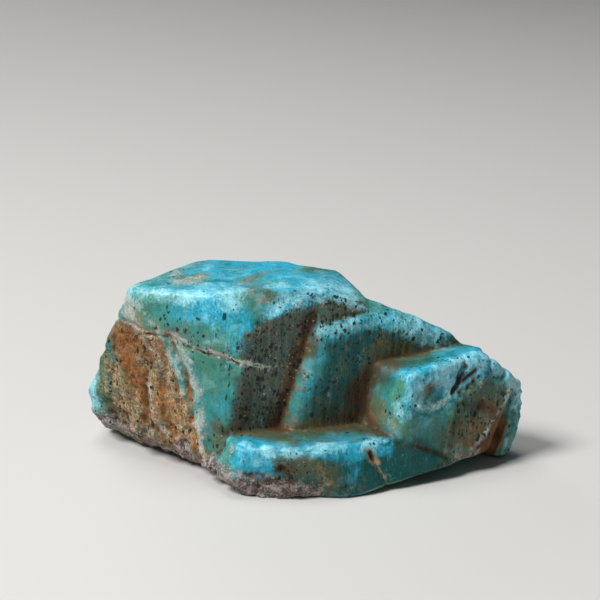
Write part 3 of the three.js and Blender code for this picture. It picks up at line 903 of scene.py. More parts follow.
@dataclass(frozen=True)
class MiddleCrystal(Region):
    """The stepped crystal in the middle."""

    top_ridge: Route = (
        (3.5, -10.5, 30.4), (6.1, -9.5, 30.7), (9.4, -8.3, 31.3), (12.6, -7.1, 32), (15.3, -5.8, 31.6),
        (17.3, -5.3, 30.7), (20, -4.2, 30), (23.4, -2.9, 28.9), (26.8, -2.1, 27.4),
    )
    left_band: Route = ((2.6, -10.9, 26), (0.6, -11.8, 20), (-0.8, -12.5, 16), (-2, -13, 12.6))
    foot_line: Route = (
        (-3, -13, 11.4), (0.3, -12.3, 11.5), (5.2, -10.7, 11.8), (9.5, -9.2, 12), (10.8, -8.4, 15.5),
    )
    block_line: Route = (
        (11.4, -8, 20), (14.1, -7.1, 22.6), (18.1, -5.4, 23.4), (22.8, -3.7, 24.2), (30.6, -0.8, 24.7),
    )
    far_slope: Route = ((21.5, -2.4, 29.6), (24.8, -1.6, 28.4), (27.6, -0.9, 27))
    dots: Route = (
        (7.1, -9.2, 29.9), (12.7, -7.2, 29.9), (14, -6.7, 29.1), (9.4, -8.4, 29.7), (15, -6.4, 27.3),
        (18.5, -5.1, 26.9), (19.7, -4.7, 28.4), (6.8, -9.4, 26.9), (8.4, -8.9, 23.7), (10.1, -8.3, 24.5),
        (18, -5.2, 29.3), (26.2, -2.4, 25.8), (11.7, -7.7, 28.2), (5.4, -9.9, 29),
    )

    def weather(self, surface: Surface) -> None:
        """Round out the far slope."""
        surface.crease(self.far_slope, 3.2, 0.7)

    def stain(self, surface: Surface) -> None:
        """Tint the middle crystal: painted ridge highlights, a dark front with black dots, painted shade in
        a corner.

        Args:
            surface: The stone's surface.
        """
        brush = surface.brush
        surface.coat(Tint.DEEP, 0.9, Face.MIDDLE_FRONT, 2.2)
        surface.coat(Tint.DEEP, 0.15, Face.MIDDLE_SLOPE)
        surface.coat(Tint.GLOOM, 0.15, Face.MIDDLE_LEFT)
        surface.coat(Tint.SPECK, 0.15, Face.MIDDLE_FRONT)
        surface.coat(Tint.SPECK, 0.12, Face.MIDDLE_SLOPE)
        brush(Tint.OLIVE, 0.4, 2.4, (9, -8.6, 27.6), (13, -7.1, 26.4), (17.6, -5.4, 27.4))
        # Painted highlights along the left ridge and the top ridge.
        brush(Tint.DEEP, -0.8, 2.0, *self.left_band, patchy=0.3)
        brush(Tint.SKY, 0.5, 1.6, *self.left_band)
        brush(Tint.DEEP, -0.7, 2.2, *self.top_ridge[:6], patchy=0.5)
        brush(Tint.SKY, 0.75, 2.2, *self.top_ridge[:6])
        brush(Tint.BLOOM, 0.45, 1.8, *self.top_ridge[:6])
        brush(Tint.BLOOM, 0.75, 1.2, *self.top_ridge[:3], patchy=0.6)
        brush(Tint.BLOOM, 0.4, 1.2, *self.top_ridge[2:5])
        brush(Tint.SKY, 0.6, 2.8, (20.4, -3.8, 29), (26.6, -2.2, 27.2))
        brush(Tint.BLOOM, 0.65, 2.6, (19.4, -4.4, 29.8), (23.4, -2.9, 28.2), (26.4, -2.2, 27), patchy=0.5)
        brush(Tint.DEEP, -0.8, 3.2, (21.4, -3.8, 28.4), (25.6, -2.5, 26.6))
        brush(Tint.OLIVE, -0.5, 2.6, (21.4, -3.8, 28.4), (25.6, -2.5, 26.8))
        brush(Tint.BLOOM, 0.4, 2.6, (21.7, -3.9, 28.3), (24.8, -2.8, 27), patchy=0.5)
        brush(Tint.GLOOM, 0.8, 1.3, (2.3, -10.6, 30.3), (2.1, -10.9, 28.6), (1.3, -11, 26))
        brush(Tint.SPECK, 1.0, 1.4, (2.2, -10.7, 30), (2.1, -11, 27), patchy=0.5)
        brush(Tint.OLIVE, 0.9, 1.8, (0.4, -10.9, 26), (-2, -11.6, 19), (-3.6, -12.4, 13.4))
        brush(Tint.AMBER, 0.35, 1.5, (-0.6, -10.9, 24), (-2.2, -11.4, 19), (-4.2, -12.2, 13.4))
        brush(
            Tint.OLIVE, 0.85, 1.7, (14.5, -6.6, 25.6), (19, -4.9, 25.9), (24, -3, 25.8), (28.5, -1.4, 25.2),
        )
        brush(Tint.AMBER, 0.6, 1.2, (14.7, -6.5, 27.7), (15.4, -6.3, 26.6), (12.7, -7.3, 24.5))
        # Darker, browner corner beside the right block and the foot: brown stain with painted shade.
        brush(Tint.UMBER, 0.8, 2.4, (11.4, -8, 20), (10.2, -8.5, 15.5), (9, -9, 12.6), soft=1.0)
        brush(Tint.UMBER, 0.75, 3.4, (8.2, -9.2, 16.6), (6.2, -10, 14.4), soft=1.0, patchy=0.7)
        brush(Tint.OLIVE, 0.8, 4.0, (9, -8.9, 19), (6.5, -9.8, 15), (2, -11.6, 12.6))
        brush(Tint.UMBER, 0.3, 2.6, (15, -6.4, 26.2), (20, -4.6, 26.2), (13.4, -7.2, 23.4), soft=1.0)
        brush(Tint.OLIVE, 0.9, 2.4, *self.block_line)
        brush(Tint.AMBER, 0.35, 1.0, *self.block_line)
        brush(Tint.AMBER, 0.35, 1.1, *self.foot_line)
        brush(Tint.UMBER, 0.6, 0.8, *self.block_line)
        brush(Tint.UMBER, 0.5, 0.8, *self.foot_line)
        brush(Tint.SPECK, 0.95, 1.7, (3.2, -11, 18.5), (4.9, -10.4, 20))
        brush(Tint.SPECK, 0.9, 0.8, (2.6, -11.3, 16.6))
        brush(Tint.CRUST, 0.95, 0.9, (4.4, -10.1, 17.7))
        brush(Tint.CRUST, 0.7, 0.7, (0.6, -11.9, 21.4), (-0.1, -11.8, 21.5))
        for dot in self.dots:
            brush(Tint.SPECK, 1.0, 1.5, dot, patchy=0.6)


@dataclass(frozen=True)
class RightBlock(Region):
    """The small block at the right, with its chip and its slit."""

    front_foot: Point = (25, -11.5, 9)
    right_border: Point = (29.4, -9.8, 14)
    upper_start: Point = (25, -11.5, 16.6)
    top_edge: Route = (
        (15.3, -9.2, 22.1), (19.6, -13.6, 22.7), (22.1, -13.6, 22.5), (26.2, -11.1, 22.8),
        (30.7, -8.2, 23.2), (34.7, -6.3, 24),
    )
    front_ridge: Route = (
        (20.6, -14.6, 22), (20.2, -14.9, 20), (19.9, -15.2, 17.4), (19, -15.8, 14.2), (18, -15.9, 10.7),
    )
    chip_line: Route = ((21.8, -14, 16.2), (24, -12.6, 15.4), (26.2, -11.1, 15.6), (28.3, -10.1, 17))
    chip_rim: Route = ((21.9, -13.8, 19.6), (23.2, -12.9, 20.9), (25.4, -11.6, 21.3), (27.6, -10.2, 20.9))
    chip_heart: Route = ((23.6, -12.6, 19.4), (25.7, -11.2, 19.9))
    front_dip: Route = ((23, -13.1, 17.2), (26.6, -10.9, 17.4))
    slit: Route = ((29, -9.2, 18.2), (30, -8.7, 19.6), (30.8, -8.5, 21.2), (31.2, -8.3, 22.2))
    side_slit: Route = ((31.2, -8.4, 19.6), (32, -8.1, 20.2), (33.4, -7.4, 21.4))
    pits: Route = ((31, -8.4, 22.9), (30.2, -9, 17.4), (31.8, -8.4, 18), (28.4, -9.7, 17.2), (33, -7.8, 19))
    bright_corner: Route = ((27.4, -10.4, 20.6), (30.4, -8.9, 21.4), (33.4, -7.4, 21.4))
    yellow_corner: Route = ((15.6, -12.9, 11.4), (16.8, -13.9, 13), (17.2, -14.2, 15))
    notch: Route = (
        (35.4, -6.3, 20.6), (34.5, -6.9, 19.1), (33.5, -7.5, 17.7), (31.7, -8.5, 16.8), (30.2, -9.3, 15.8),
    )

    def weather(self, surface: Surface) -> None:
        """Deepen the slit and chip the front.

        Args:
            surface: The stone's surface.
        """
        surface.crease(self.slit, 0.7, -1.1)
        surface.crease(self.slit[2:], 0.9, -0.7)
        surface.crease(self.side_slit, 0.5, -0.6)
        surface.crease(self.notch, 0.5, 0.35)
        for pit in self.pits:
            surface.crease((pit, (pit[0] + 0.4, pit[1] + 0.2, pit[2] + 0.5)), 0.45, -0.55)
        surface.crease(self.chip_line, 0.55, 0.5)
        under_line = tuple((x, y - 0.1, z - 1.0) for x, y, z in self.chip_line)
        surface.crease(under_line, 0.6, -0.35)
        surface.crease(self.chip_rim, 0.6, 0.35)
        surface.crease(self.chip_heart, 1.7, -0.8)
        surface.crease(self.front_dip, 1.6, -0.35)

    def stain(self, surface: Surface) -> None:
        """Tint the right block: teal, painted edge highlights, a painted shadow on top, a yellowish left
        face.

        Args:
            surface: The stone's surface.
        """
        brush = surface.brush
        surface.coat(Tint.DEEP, 0.15, Face.RIGHT_LEFT)
        surface.coat(Tint.SKY, 0.1, Face.RIGHT_LEFT)
        surface.coat(Tint.DEEP, 0.35, Face.RIGHT_TOP)
        surface.coat(Tint.SKY, 0.25, Face.RIGHT_TOP)
        front = surface.beyond(self.front_foot, (0.42, 0.0, 1.0))
        front = front * (1.0 - surface.beyond(self.right_border, (1.0, 0.0, -0.35)))
        upper = surface.beyond(self.upper_start, (0.15, 0.0, 1.0), 4.0)
        surface.coat(Tint.SKY, 0.4, Face.RIGHT_FRONT, 3.0, front)
        surface.coat(Tint.SKY, 0.7, Face.RIGHT_FRONT, 3.0, front * upper)
        surface.coat(Tint.BLOOM, 0.2, Face.RIGHT_FRONT, 3.0, front * upper)
        brush(Tint.OLIVE, 0.45, 3.2, (23.6, -12.4, 19.6), (27, -10.6, 18.6))
        brush(Tint.SKY, -0.9, 4.4, (22.5, -14, 9), (26, -12, 9), (28, -11, 9), patchy=0.5)
        brush(Tint.DEEP, 0.75, 4.2, (22.5, -14, 9), (26, -12, 9), (29, -10.5, 9))
        brush(Tint.OLIVE, 0.4, 3.4, (24.5, -12.4, 8.6), (27, -11.6, 9.4))
        brush(Tint.BLOOM, 0.25, 2.4, (22.6, -13.6, 14.4), (26.8, -10.9, 13.6))
        # Painted shadow of the middle crystal, laid over olive stain on the top beside it.
        brush(Tint.DEEP, 0.9, 3.4, (15.8, -9.4, 22.7), (18.3, -9.8, 23), (22.7, -8.2, 23.3), patchy=0.3)
        brush(Tint.OLIVE, 0.9, 3.4, (15.3, -8.6, 22.7), (18.3, -8.6, 23), (21.7, -6.8, 23.3), patchy=0.5)
        brush(Tint.BLOOM, -0.8, 3.0, (16, -9, 22.8), (18.6, -8.8, 23), patchy=0.3)
        brush(Tint.UMBER, 0.5, 3.2, (16, -9.2, 22.8), (20, -8.6, 23.1), patchy=0.5)
        brush(Tint.AMBER, 0.3, 1.2, (15, -7.8, 22.7), (18.6, -6.2, 23), (22.7, -4.8, 23.3))
        brush(Tint.SPECK, 0.9, 0.9, (23.9, -10.9, 23.3), (26.7, -8.4, 23.7), (30.3, -8.4, 23.8))
        brush(Tint.SPECK, 0.6, 1.2, (19.6, -11.2, 22.9), (21.6, -11, 23.1))
        # Painted highlights along the top edge, the front ridge and the corner between them.
        brush(Tint.SKY, 0.7, 1.5, *self.top_edge)
        brush(Tint.BLOOM, 0.5, 1.1, *self.top_edge)
        brush(Tint.BLOOM, -0.35, 1.8, *self.top_edge[:3])
        brush(Tint.BLOOM, 0.6, 1.7, *self.top_edge[3:])
        brush(Tint.SKY, 0.6, 2.6, (28, -5.6, 24), (31.4, -4.6, 24.2), (34.2, -6, 23.2))
        brush(Tint.SKY, 0.6, 1.4, *self.front_ridge)
        brush(Tint.BLOOM, -0.3, 1.8, *self.front_ridge)
        brush(Tint.BLOOM, 0.7, 1.4, (20.4, -14.8, 21.4), (21.3, -14.1, 21.6), (20.4, -14.8, 18.6))
        brush(
            Tint.TAN, 0.5, 2.8, (11.6, -8.6, 15), (12.6, -9.2, 12.4), (14.6, -11.6, 11.6),
            (16.6, -13.7, 12),
        )
        brush(Tint.OLIVE, 0.75, 3.4, (12.2, -9.2, 15), (14, -11, 12.2), (16.6, -13.6, 11.6))
        brush(Tint.AMBER, 0.5, 1.8, (12, -8.8, 17), (12.4, -9.2, 13), (14.4, -11.4, 11.2))
        brush(Tint.UMBER, 0.6, 0.9, (11.9, -8.4, 19), (11.6, -8.6, 13), (13.6, -10.8, 10.8))
        brush(Tint.UMBER, 0.35, 2.8, (12.4, -8.8, 16), (14, -10.4, 12.6), soft=1.0, patchy=0.5)
        brush(Tint.BLOOM, 0.75, 1.3, (17.7, -13.8, 16.1), (18.3, -14.9, 14.8), (19.3, -15.7, 14.5))
        for tint in (Tint.UMBER, Tint.OLIVE, Tint.DEEP):
            brush(tint, -0.9, 5.0, (23, -12.8, 19), (26, -11, 18.6), (29, -9.6, 19.6), patchy=0.2)
        brush(Tint.SKY, -0.9, 1.9, *self.chip_heart, patchy=0.2)
        brush(Tint.OLIVE, 0.9, 1.9, *self.chip_heart, patchy=0.5)
        brush(Tint.AMBER, 0.35, 0.9, *self.chip_heart)
        brush(Tint.SKY, 0.7, 1.8, (22.6, -12.8, 22.4), (26.6, -10.4, 22.4), (31, -8.2, 22.8))
        brush(Tint.AMBER, 0.2, 1.2, (23.4, -12.8, 19.2), (24.4, -12.1, 19.8))
        # The chip's rims and ledge: pale, with painted highlights.
        brush(Tint.BLOOM, 0.8, 0.9, *self.chip_rim)
        brush(Tint.CHALK, 0.5, 0.8, (26.2, -11.1, 21.1), (27.7, -10.2, 20.7), (28.2, -10, 19))
        brush(Tint.DEEP, 0.5, 1.0, (22.6, -13.4, 17.6), (25.4, -11.6, 17.8))
        brush(Tint.BLOOM, 0.6, 1.6, (27, -10.8, 20.4), (28.3, -9.9, 19.4), (28.4, -10, 17.6))
        brush(Tint.BLOOM, 0.5, 1.5, (21.9, -13.9, 19), (22, -14, 17.6))
        brush(Tint.CHALK, 1.0, 0.7, *self.chip_line, patchy=0.5)
        brush(Tint.BLOOM, 0.45, 1.3, *self.chip_line)
        brush(Tint.TAN, 0.5, 1.1, (28.4, -9.9, 17.3), (30.6, -9, 17.5), (31.7, -8.4, 18.6))
        brush(Tint.TAN, 0.5, 1.3, *self.slit)
        brush(Tint.OLIVE, 0.5, 1.8, (31.6, -8.4, 22.4), (32.8, -7.8, 20.6))
        brush(Tint.UMBER, 1.0, 0.8, *self.slit, patchy=0.4)
        brush(Tint.UMBER, 0.8, 0.7, *self.side_slit)
        brush(Tint.TAN, 0.4, 0.9, *self.side_slit[1:])
        for pit in self.pits:
            brush(Tint.UMBER, 0.8, 0.6, pit)
        brush(Tint.CHALK, 0.85, 0.5, *self.notch, patchy=0.6)
        # Painted highlight on the bright corner above the chip.
        brush(Tint.DEEP, -0.9, 3.2, *self.bright_corner, patchy=0.3)
        brush(Tint.OLIVE, -0.7, 3.0, *self.bright_corner, patchy=0.3)
        brush(Tint.SKY, 0.7, 2.8, *self.bright_corner)
        brush(Tint.BLOOM, 0.45, 2.4, *self.bright_corner, patchy=0.6)
        brush(Tint.DEEP, -0.6, 2.4, (22.8, -13.2, 18), (25.6, -11.4, 17.6))
        brush(Tint.SKY, -0.7, 3.2, *self.yellow_corner, patchy=0.4)
        brush(Tint.OLIVE, 0.6, 3.0, *self.yellow_corner)
        brush(Tint.TAN, 0.35, 2.2, *self.yellow_corner)


@dataclass(frozen=True)
class OliveBlock(Region):
    """The speckled olive block and the plate behind the rusty groove."""

    groove: Route = ((41.6, -2.6, 17.6), (41.4, -1.4, 14), (40.4, -0.9, 10), (39.4, -0.7, 6), (38, -1.6, 3))
    hollow: Route = ((38.9, -5.2, 10.4), (38.2, -5.6, 8.4), (37, -6.4, 5.6), (36.2, -6.8, 3.6))
    hollow_face: CrystalFace = CrystalFace(-38.9, -10.5, 28.5)
    notches: tuple[Route, ...] = (
        ((36.8, -4.2, 22.8), (36.3, -5.5, 22.8), (35.9, -6, 21.6), (35.6, -6.2, 20.6)),
        ((40.8, -2.8, 20.2), (39.8, -4, 20), (39, -4.8, 19)),
    )
    rim: Route = (
        (37, -5.2, 22.4), (38.4, -4.6, 21), (41, -3.6, 19.2), (42.6, -2.2, 17.2), (43.4, -1.2, 14.6),
    )
    plate_border: Point = (40.4, -2, 10)
    plate_end: CrystalFace = CrystalFace(0, -24, 36.75)
    ribs: tuple[Route, ...] = (
        ((42.6, -1.9, 15.2), (41.6, -1.5, 11.8), (41.1, -1.7, 7.7), (39.9, -1.1, 3.6), (39, -1, 1.1)),
        ((43.1, -1.4, 14.5), (42.4, -1.6, 11.2), (41.9, -1.3, 7.6), (40.8, -1.9, 3.9), (39.9, -1.5, 1.4)),
        ((43.3, -0.6, 12.5), (43.1, -0.1, 9.1), (42.6, 0.1, 5.7), (41.9, -0.1, 2.5)),
    )
    plate_line: Route = ((41, -3.6, 17.6), (41.9, -2.3, 14.6), (41.4, -1.5, 10.7), (40.8, -1.4, 6))
    left_border: Point = (29.6, -9.6, 14)
    edge_line: Route = ((30.4, -9.1, 16.6), (29.8, -9.8, 13), (29.4, -10.4, 9.6), (28.8, -11, 6.4))
    lip: Route = (
        (40.4, -4.2, 16), (40, -4.4, 14.6), (38.4, -5.7, 11), (36.6, -7, 8.6), (35, -7.7, 7),
        (33, -8.9, 5.1),
    )
    low_lip: Route = ((36, -7.4, 6.4), (34, -8.4, 4.6), (31.6, -9.6, 3))
    pale_crack: Route = (
        (35.6, -6.4, 20.6), (35.1, -6.6, 19), (33.9, -7.4, 17.6), (32.5, -8.1, 16.6), (31.3, -8.7, 17.3),
    )
    knob: Route = ((34.6, -6, 22.6), (36.6, -5.4, 21.9))
    plate_shoulder: Route = ((41, -3, 19), (42.6, -1.8, 17.6))
    amber_ground: Route = ((31, -9.4, 6.6), (34, -8, 8.6), (37, -6.4, 11.6))
    groove_foot: Route = ((39.8, -0.8, 6), (38.6, -0.4, 3), (37.4, 0.2, 1.2))
    plate_tip: Route = ((40.6, -3.6, 17.8), (42.4, -2.4, 16.4), (43.1, -1.4, 14.5))
    groove_wall: Route = ((39.4, -0.7, 7.6), (38.8, -0.4, 4), (37.9, 0, 1.6))

    def weather(self, surface: Surface) -> None:
        """Raise the lip of the groove and line the plate along its length.

        Args:
            surface: The stone's surface.
        """
        surface.crease(self.knob, 2.6, 1.0)
        surface.crease(self.plate_shoulder, 2.6, 0.9)
        for notch in self.notches:
            surface.crease(notch, 0.6, -0.9)
        surface.grind(self.hollow_face, surface.beyond(self.plate_border, (-1.0, 0.0, 0.2), 0.8))
        surface.crease(self.hollow, 1.3, -0.6)
        surface.crease(self.lip, 0.5, 0.35)
        surface.crease(self.low_lip, 0.5, 0.35)
        surface.crease(self.edge_line, 0.6, -0.2)
        surface.grind(self.plate_end)
        for rib in self.ribs:
            surface.crease(rib, 0.4, 0.5)
        surface.crease(self.pale_crack, 0.4, 0.2)

    def stain(self, surface: Surface) -> None:
        """Tint the olive block, the groove and the plate, with painted highlights on rims and painted shade
        in notches.

        Args:
            surface: The stone's surface.
        """
        brush = surface.brush
        here = surface.beyond(self.left_border, (1.0, 0.0, -0.35))
        surface.coat(Tint.OLIVE, 0.55, Face.OLIVE_FRONT, 2.5, here)
        surface.coat(Tint.SPECK, 0.45, Face.OLIVE_FRONT, 2.5, here)
        surface.coat(Tint.DEEP, 0.4, Face.OLIVE_FRONT, 2.5, here)
        brush(Tint.OLIVE, 0.5, 2.4, (33.6, -7.4, 17), (36, -6.4, 16), (38.4, -5.2, 14.4), patchy=0.5)
        brush(Tint.AMBER, 0.25, 2.0, (33.6, -7.4, 16.6), (36, -6.4, 15), (38, -5.4, 13.4))
        # Painted highlight along the top rim: darks taken off, light blue and pale laid on.
        for tint in (Tint.SPECK, Tint.OLIVE, Tint.DEEP, Tint.UMBER):
            brush(tint, -0.85, 2.2, *self.rim, patchy=0.3)
        brush(Tint.SKY, 0.5, 2.2, *self.rim)
        brush(Tint.BLOOM, 0.9, 2.0, *self.rim, patchy=0.5)
        # Painted shade in the notches.
        for notch in self.notches:
            brush(Tint.DEEP, 0.6, 0.7, *notch)
            brush(Tint.UMBER, 0.35, 0.6, *notch)
        brush(Tint.CHALK, 0.5, 1.0, (35, -6.4, 22), (36.4, -5.8, 20.6))
        brush(Tint.SKY, 0.5, 1.8, (31.3, -8.2, 22.9), (33, -7.5, 21.4), (34.6, -6.8, 20))
        brush(Tint.OLIVE, 0.9, 3.4, (31.4, -9.2, 9.4), (34, -8, 10.6), (36.8, -6.4, 13), patchy=0.5)
        brush(Tint.TAN, 0.6, 2.4, (31.4, -9.2, 9.4), (34, -8, 9.6), (36.8, -6.4, 12))
        brush(Tint.RUST, 0.35, 2.4, (33, -8.4, 8.6), (36, -7, 10))
        brush(Tint.AMBER, 0.4, 3.4, *self.amber_ground, soft=1.0)
        brush(Tint.DEEP, -0.7, 4.0, *self.amber_ground)
        brush(Tint.UMBER, 0.7, 1.2, (33.9, -7.6, 14.1), (36.1, -6.6, 13.4))
        brush(Tint.UMBER, 0.6, 1.0, (32.9, -8.2, 12.6), (31.9, -8.6, 14.8))
        brush(Tint.SPECK, 0.8, 1.6, (33, -8.2, 13.6), (36, -6.7, 14.6))
        brush(Tint.UMBER, 0.6, 1.1, *self.edge_line)
        brush(Tint.CHALK, 0.8, 0.6, *self.pale_crack)
        brush(Tint.DEEP, -0.9, 2.6, *self.groove)
        brush(Tint.AMBER, 0.9, 1.6, *self.groove_foot)
        brush(Tint.UMBER, 0.6, 2.0, *self.groove_foot)
        brush(Tint.AMBER, 0.9, 0.9, *self.groove[2:])
        brush(Tint.UMBER, 0.5, 0.9, *self.groove[2:])
        brush(Tint.DEEP, -1.0, 3.0, *self.hollow, patchy=0.0)
        brush(Tint.AMBER, 1.0, 1.1, *self.hollow, soft=0.5, patchy=0.2)
        brush(Tint.AMBER, 1.0, 2.4, *self.hollow[1:], soft=0.5, patchy=0.2)
        brush(Tint.UMBER, 0.6, 2.8, *self.hollow, patchy=0.6)
        brush(Tint.UMBER, 0.35, 3.0, (34, -7.8, 11.6), (35.6, -7, 8.6), (33.6, -8.4, 6.4))
        brush(Tint.AMBER, 0.6, 1.8, (36.8, -6.6, 6.6), (34.5, -8, 5.4), (32, -9.3, 4.4))
        brush(
            Tint.CHALK, 0.9, 0.8, (41.5, -3.4, 17.2), (41.2, -2.4, 15.4), (41.1, -1.2, 13.6),
            (40.5, -1.2, 10.1),
        )
        brush(Tint.CHALK, 1.0, 0.8, *self.lip, soft=0.5, patchy=0.5)
        brush(Tint.CRUST, 0.9, 0.8, *self.low_lip, soft=0.5, patchy=0.5)
        brush(Tint.CRUST, 0.7, 1.2, (29.6, -10.4, 4.6), (31.6, -9.6, 2.4), (34, -8.4, 2))
        brush(Tint.CHALK, 0.8, 0.5, *self.plate_line, soft=0.5)
        surface.coat(Tint.SKY, 0.3, Face.PLATE_FRONT, 3.0)
        for rib in self.ribs:
            brush(Tint.BLOOM, 0.7, 0.5, *rib, soft=0.5, patchy=0.5)
        # Painted highlight on the plate's tip.
        brush(Tint.BLOOM, 0.8, 2.0, *self.plate_tip)
        brush(Tint.CHALK, 0.6, 1.4, *self.plate_tip)
        brush(Tint.DEEP, -1.0, 2.2, *self.groove_wall, patchy=0.0)
        brush(Tint.SKY, -1.0, 2.2, *self.groove_wall, patchy=0.0)
        brush(Tint.AMBER, 1.0, 2.0, *self.groove_wall, patchy=0.2)
        brush(Tint.RUST, 0.5, 1.2, (39.2, -0.7, 6.6), (38.6, -0.4, 3.6), (37.6, 0, 1.4))
        # Painted highlight along the plate's top edge.
        brush(Tint.BLOOM, 0.75, 0.8, (40.2, -3.8, 18.4), (42.4, -2.4, 16.4), (43.6, -1.6, 13))


@dataclass(frozen=True)
class Foot(Region):
    """The low block in front."""

    ridge: Route = (
        (-13.9, -17.9, 10.9), (-9.6, -21.5, 10.5), (-3.9, -22.1, 10.2), (0.9, -21.6, 10.3),
        (5.1, -20.5, 10.2), (8.3, -18.8, 10.2), (12.5, -17.7, 9.8), (15.8, -16, 10),
    )
    top_band: Route = (
        (-12.5, -18.6, 10.9), (-8.7, -19.6, 10.8), (-1, -19.4, 10.6), (4, -18.4, 10.5), (9.7, -16.6, 10.3),
        (15, -16.3, 10.1),
    )
    dip: Route = ((-8.4, -21.6, 10.6), (-4, -22, 10.4), (0.4, -22, 10.5))
    back_line: Route = (
        (-12, -15.2, 10.8), (-2.9, -14, 10.7), (3, -12.2, 10.6), (9, -9.4, 10.4), (13, -12.6, 10.2),
    )
    crack: Route = ((12.4, -17.4, 8), (13.4, -17.3, 5.6), (14.6, -16.8, 3.2), (15.8, -16.4, 0.9))
    crust: Route = (
        (-18.6, -14.8, 4.4), (-16, -18.2, 4.2), (-12.6, -20, 3.4), (-9, -20.8, 2.9), (-5.5, -20.8, 2.6),
        (-2, -20.8, 2),
    )
    left_corner: Route = ((-13.9, -18.2, 10), (-14.4, -18.4, 8.2), (-15, -18.4, 6.4))
    side_line: Route = ((14.9, -14.4, 10.1), (18, -15.9, 9.6), (21.7, -14.2, 8.1), (27.9, -12, 4.6))
    side_border: Point = (22, -14.2, 7.4)
    crack_mouth: Route = ((12, -17.8, 8.6), (12.8, -17.4, 6.8))
    front_dent: Route = ((-4.4, -21.4, 6.6), (-3, -21, 4.4))
    blue_end: Route = ((-12.4, -19.4, 8.6), (-8.4, -21, 7))
    teal_side: Route = ((17, -16.4, 6.4), (20, -15.4, 5.6), (25, -13, 3.6))
    lump_height: float = 0.32

    def weather(self, surface: Surface) -> None:
        """Open the crack, dent the ridge and lump the crust.

        Args:
            surface: The stone's surface.
        """
        surface.crease(self.crack, 0.6, -0.6)
        surface.crease(self.crack_mouth, 0.9, -0.6)
        surface.crease(self.dip, 1.9, -0.8)
        surface.crease(self.side_line[1:], 0.4, -0.25)
        surface.crease(self.front_dent, 1.0, -0.5)
        surface.crease(self.crust, 2.4, 0.8)
        lumps = surface.near(self.crust, 3.0)
        rough = 0.3 + grain(surface.points, 1.0, 2.5) + 0.5 * grain(surface.points, 0.55, 6.5)
        surface.lift += self.lump_height * lumps * rough

    def stain(self, surface: Surface) -> None:
        """Tint the foot: a painted highlight on the ridge, a top darker at the back, a pale crust with
        painted shade.

        Args:
            surface: The stone's surface.
        """
        brush = surface.brush
        surface.coat(Tint.DEEP, 0.5, Face.FOOT_FRONT, 2.5)
        below = surface.beyond(self.side_border, (-0.42, 0.0, -1.0))
        surface.coat(Tint.DEEP, 0.95, Face.FOOT_RIGHT_FRONT, 2.5, below)
        surface.coat(Tint.OLIVE, 0.35, Face.FOOT_FRONT, 2.5)
        surface.coat(Tint.OLIVE, 0.8, Face.FOOT_TOP)
        surface.coat(Tint.DEEP, 0.6, Face.FOOT_TOP)
        surface.coat(Tint.UMBER, 0.25, Face.FOOT_TOP)
        brush(Tint.AMBER, 0.5, 1.5, *self.back_line)
        for tint in (Tint.OLIVE, Tint.UMBER, Tint.DEEP):
            brush(tint, -0.75, 2.8, *self.top_band)
        brush(Tint.SKY, 0.75, 2.4, *self.top_band)
        brush(Tint.SKY, 0.7, 1.7, (3.5, -17.6, 10.4), (6.1, -14.6, 10.4), (8.1, -13, 10.3))
        brush(Tint.OLIVE, 0.6, 1.4, (-7, -19, 10.9), (-2.6, -18.6, 10.7))
        # Painted highlights along the front ridge.
        brush(Tint.SKY, 0.95, 1.9, *self.ridge)
        brush(Tint.BLOOM, 0.6, 1.0, *self.ridge[:3])
        brush(Tint.BLOOM, 0.85, 1.1, (-7, -21.7, 10), (-2, -22, 9.8), (1.4, -21.8, 10.3), (7, -19.6, 10.1))
        brush(Tint.BLOOM, 0.8, 1.4, (2.6, -20.8, 10.3), (5, -20.3, 10.3))
        brush(Tint.BLOOM, 0.75, 1.2, (11.7, -17.9, 9.6), (16, -15.9, 10.1))
        brush(Tint.SKY, 0.9, 1.8, (8.6, -19, 9.4), (11.7, -17.9, 8.8), (14.9, -16.7, 8.7), patchy=0.5)
        brush(Tint.BLOOM, 0.75, 1.3, (11, -18.2, 9), (13.3, -17.4, 8.7), (14.9, -16.7, 9), patchy=0.5)
        brush(Tint.UMBER, 0.55, 1.9, (11.6, -13.4, 10.3), (14, -12.4, 10.3), (16, -13.6, 10.4), patchy=0.5)
        brush(Tint.SKY, 1.0, 3.4, (-12, -19.6, 8.4), (-9.6, -21, 7.6), (-7.4, -21.2, 6.6), patchy=0.2)
        brush(Tint.BLOOM, 0.5, 2.0, (-11.8, -20, 9.2), (-8.4, -21.2, 8.6))
        brush(Tint.DEEP, -0.9, 3.4, *self.blue_end, patchy=0.2)
        brush(Tint.OLIVE, -0.8, 3.4, *self.blue_end, patchy=0.2)
        for tint in (Tint.SKY, Tint.BLOOM):
            brush(tint, -0.75, 2.0, *self.left_corner, patchy=0.3)
        brush(Tint.DEEP, 0.4, 2.0, *self.left_corner)
        brush(Tint.OLIVE, 0.3, 2.0, *self.left_corner)
        brush(Tint.CHALK, 0.5, 1.6, (-14.6, -18, 9), (-15.2, -18.2, 6.8))
        brush(Tint.SKY, 0.7, 2.4, (6.1, -20.5, 7.8), (8, -19.9, 6.2), (7.6, -20.6, 4.7))
        brush(Tint.SKY, 0.45, 1.8, (4, -20.8, 8.4), (11, -18, 8.2))
        brush(Tint.OLIVE, 0.85, 2.8, (-3.6, -21.4, 7.4), (0.6, -21.6, 6.6), (3.4, -21.2, 4.6))
        brush(Tint.GLOOM, 0.4, 2.4, (-1.8, -21.7, 7.6), (1.4, -21.4, 5.6))
        brush(Tint.UMBER, 0.5, 3.2, (-1.8, -21.7, 6.6), (2.4, -21.2, 4.6), patchy=0.5)
        brush(Tint.DEEP, 0.6, 3.4, (-1.8, -21.7, 6.6), (4.4, -21.2, 4.6))
        brush(Tint.SPECK, 0.6, 2.4, (-2.4, -21.6, 7), (2.4, -21.2, 5.4))
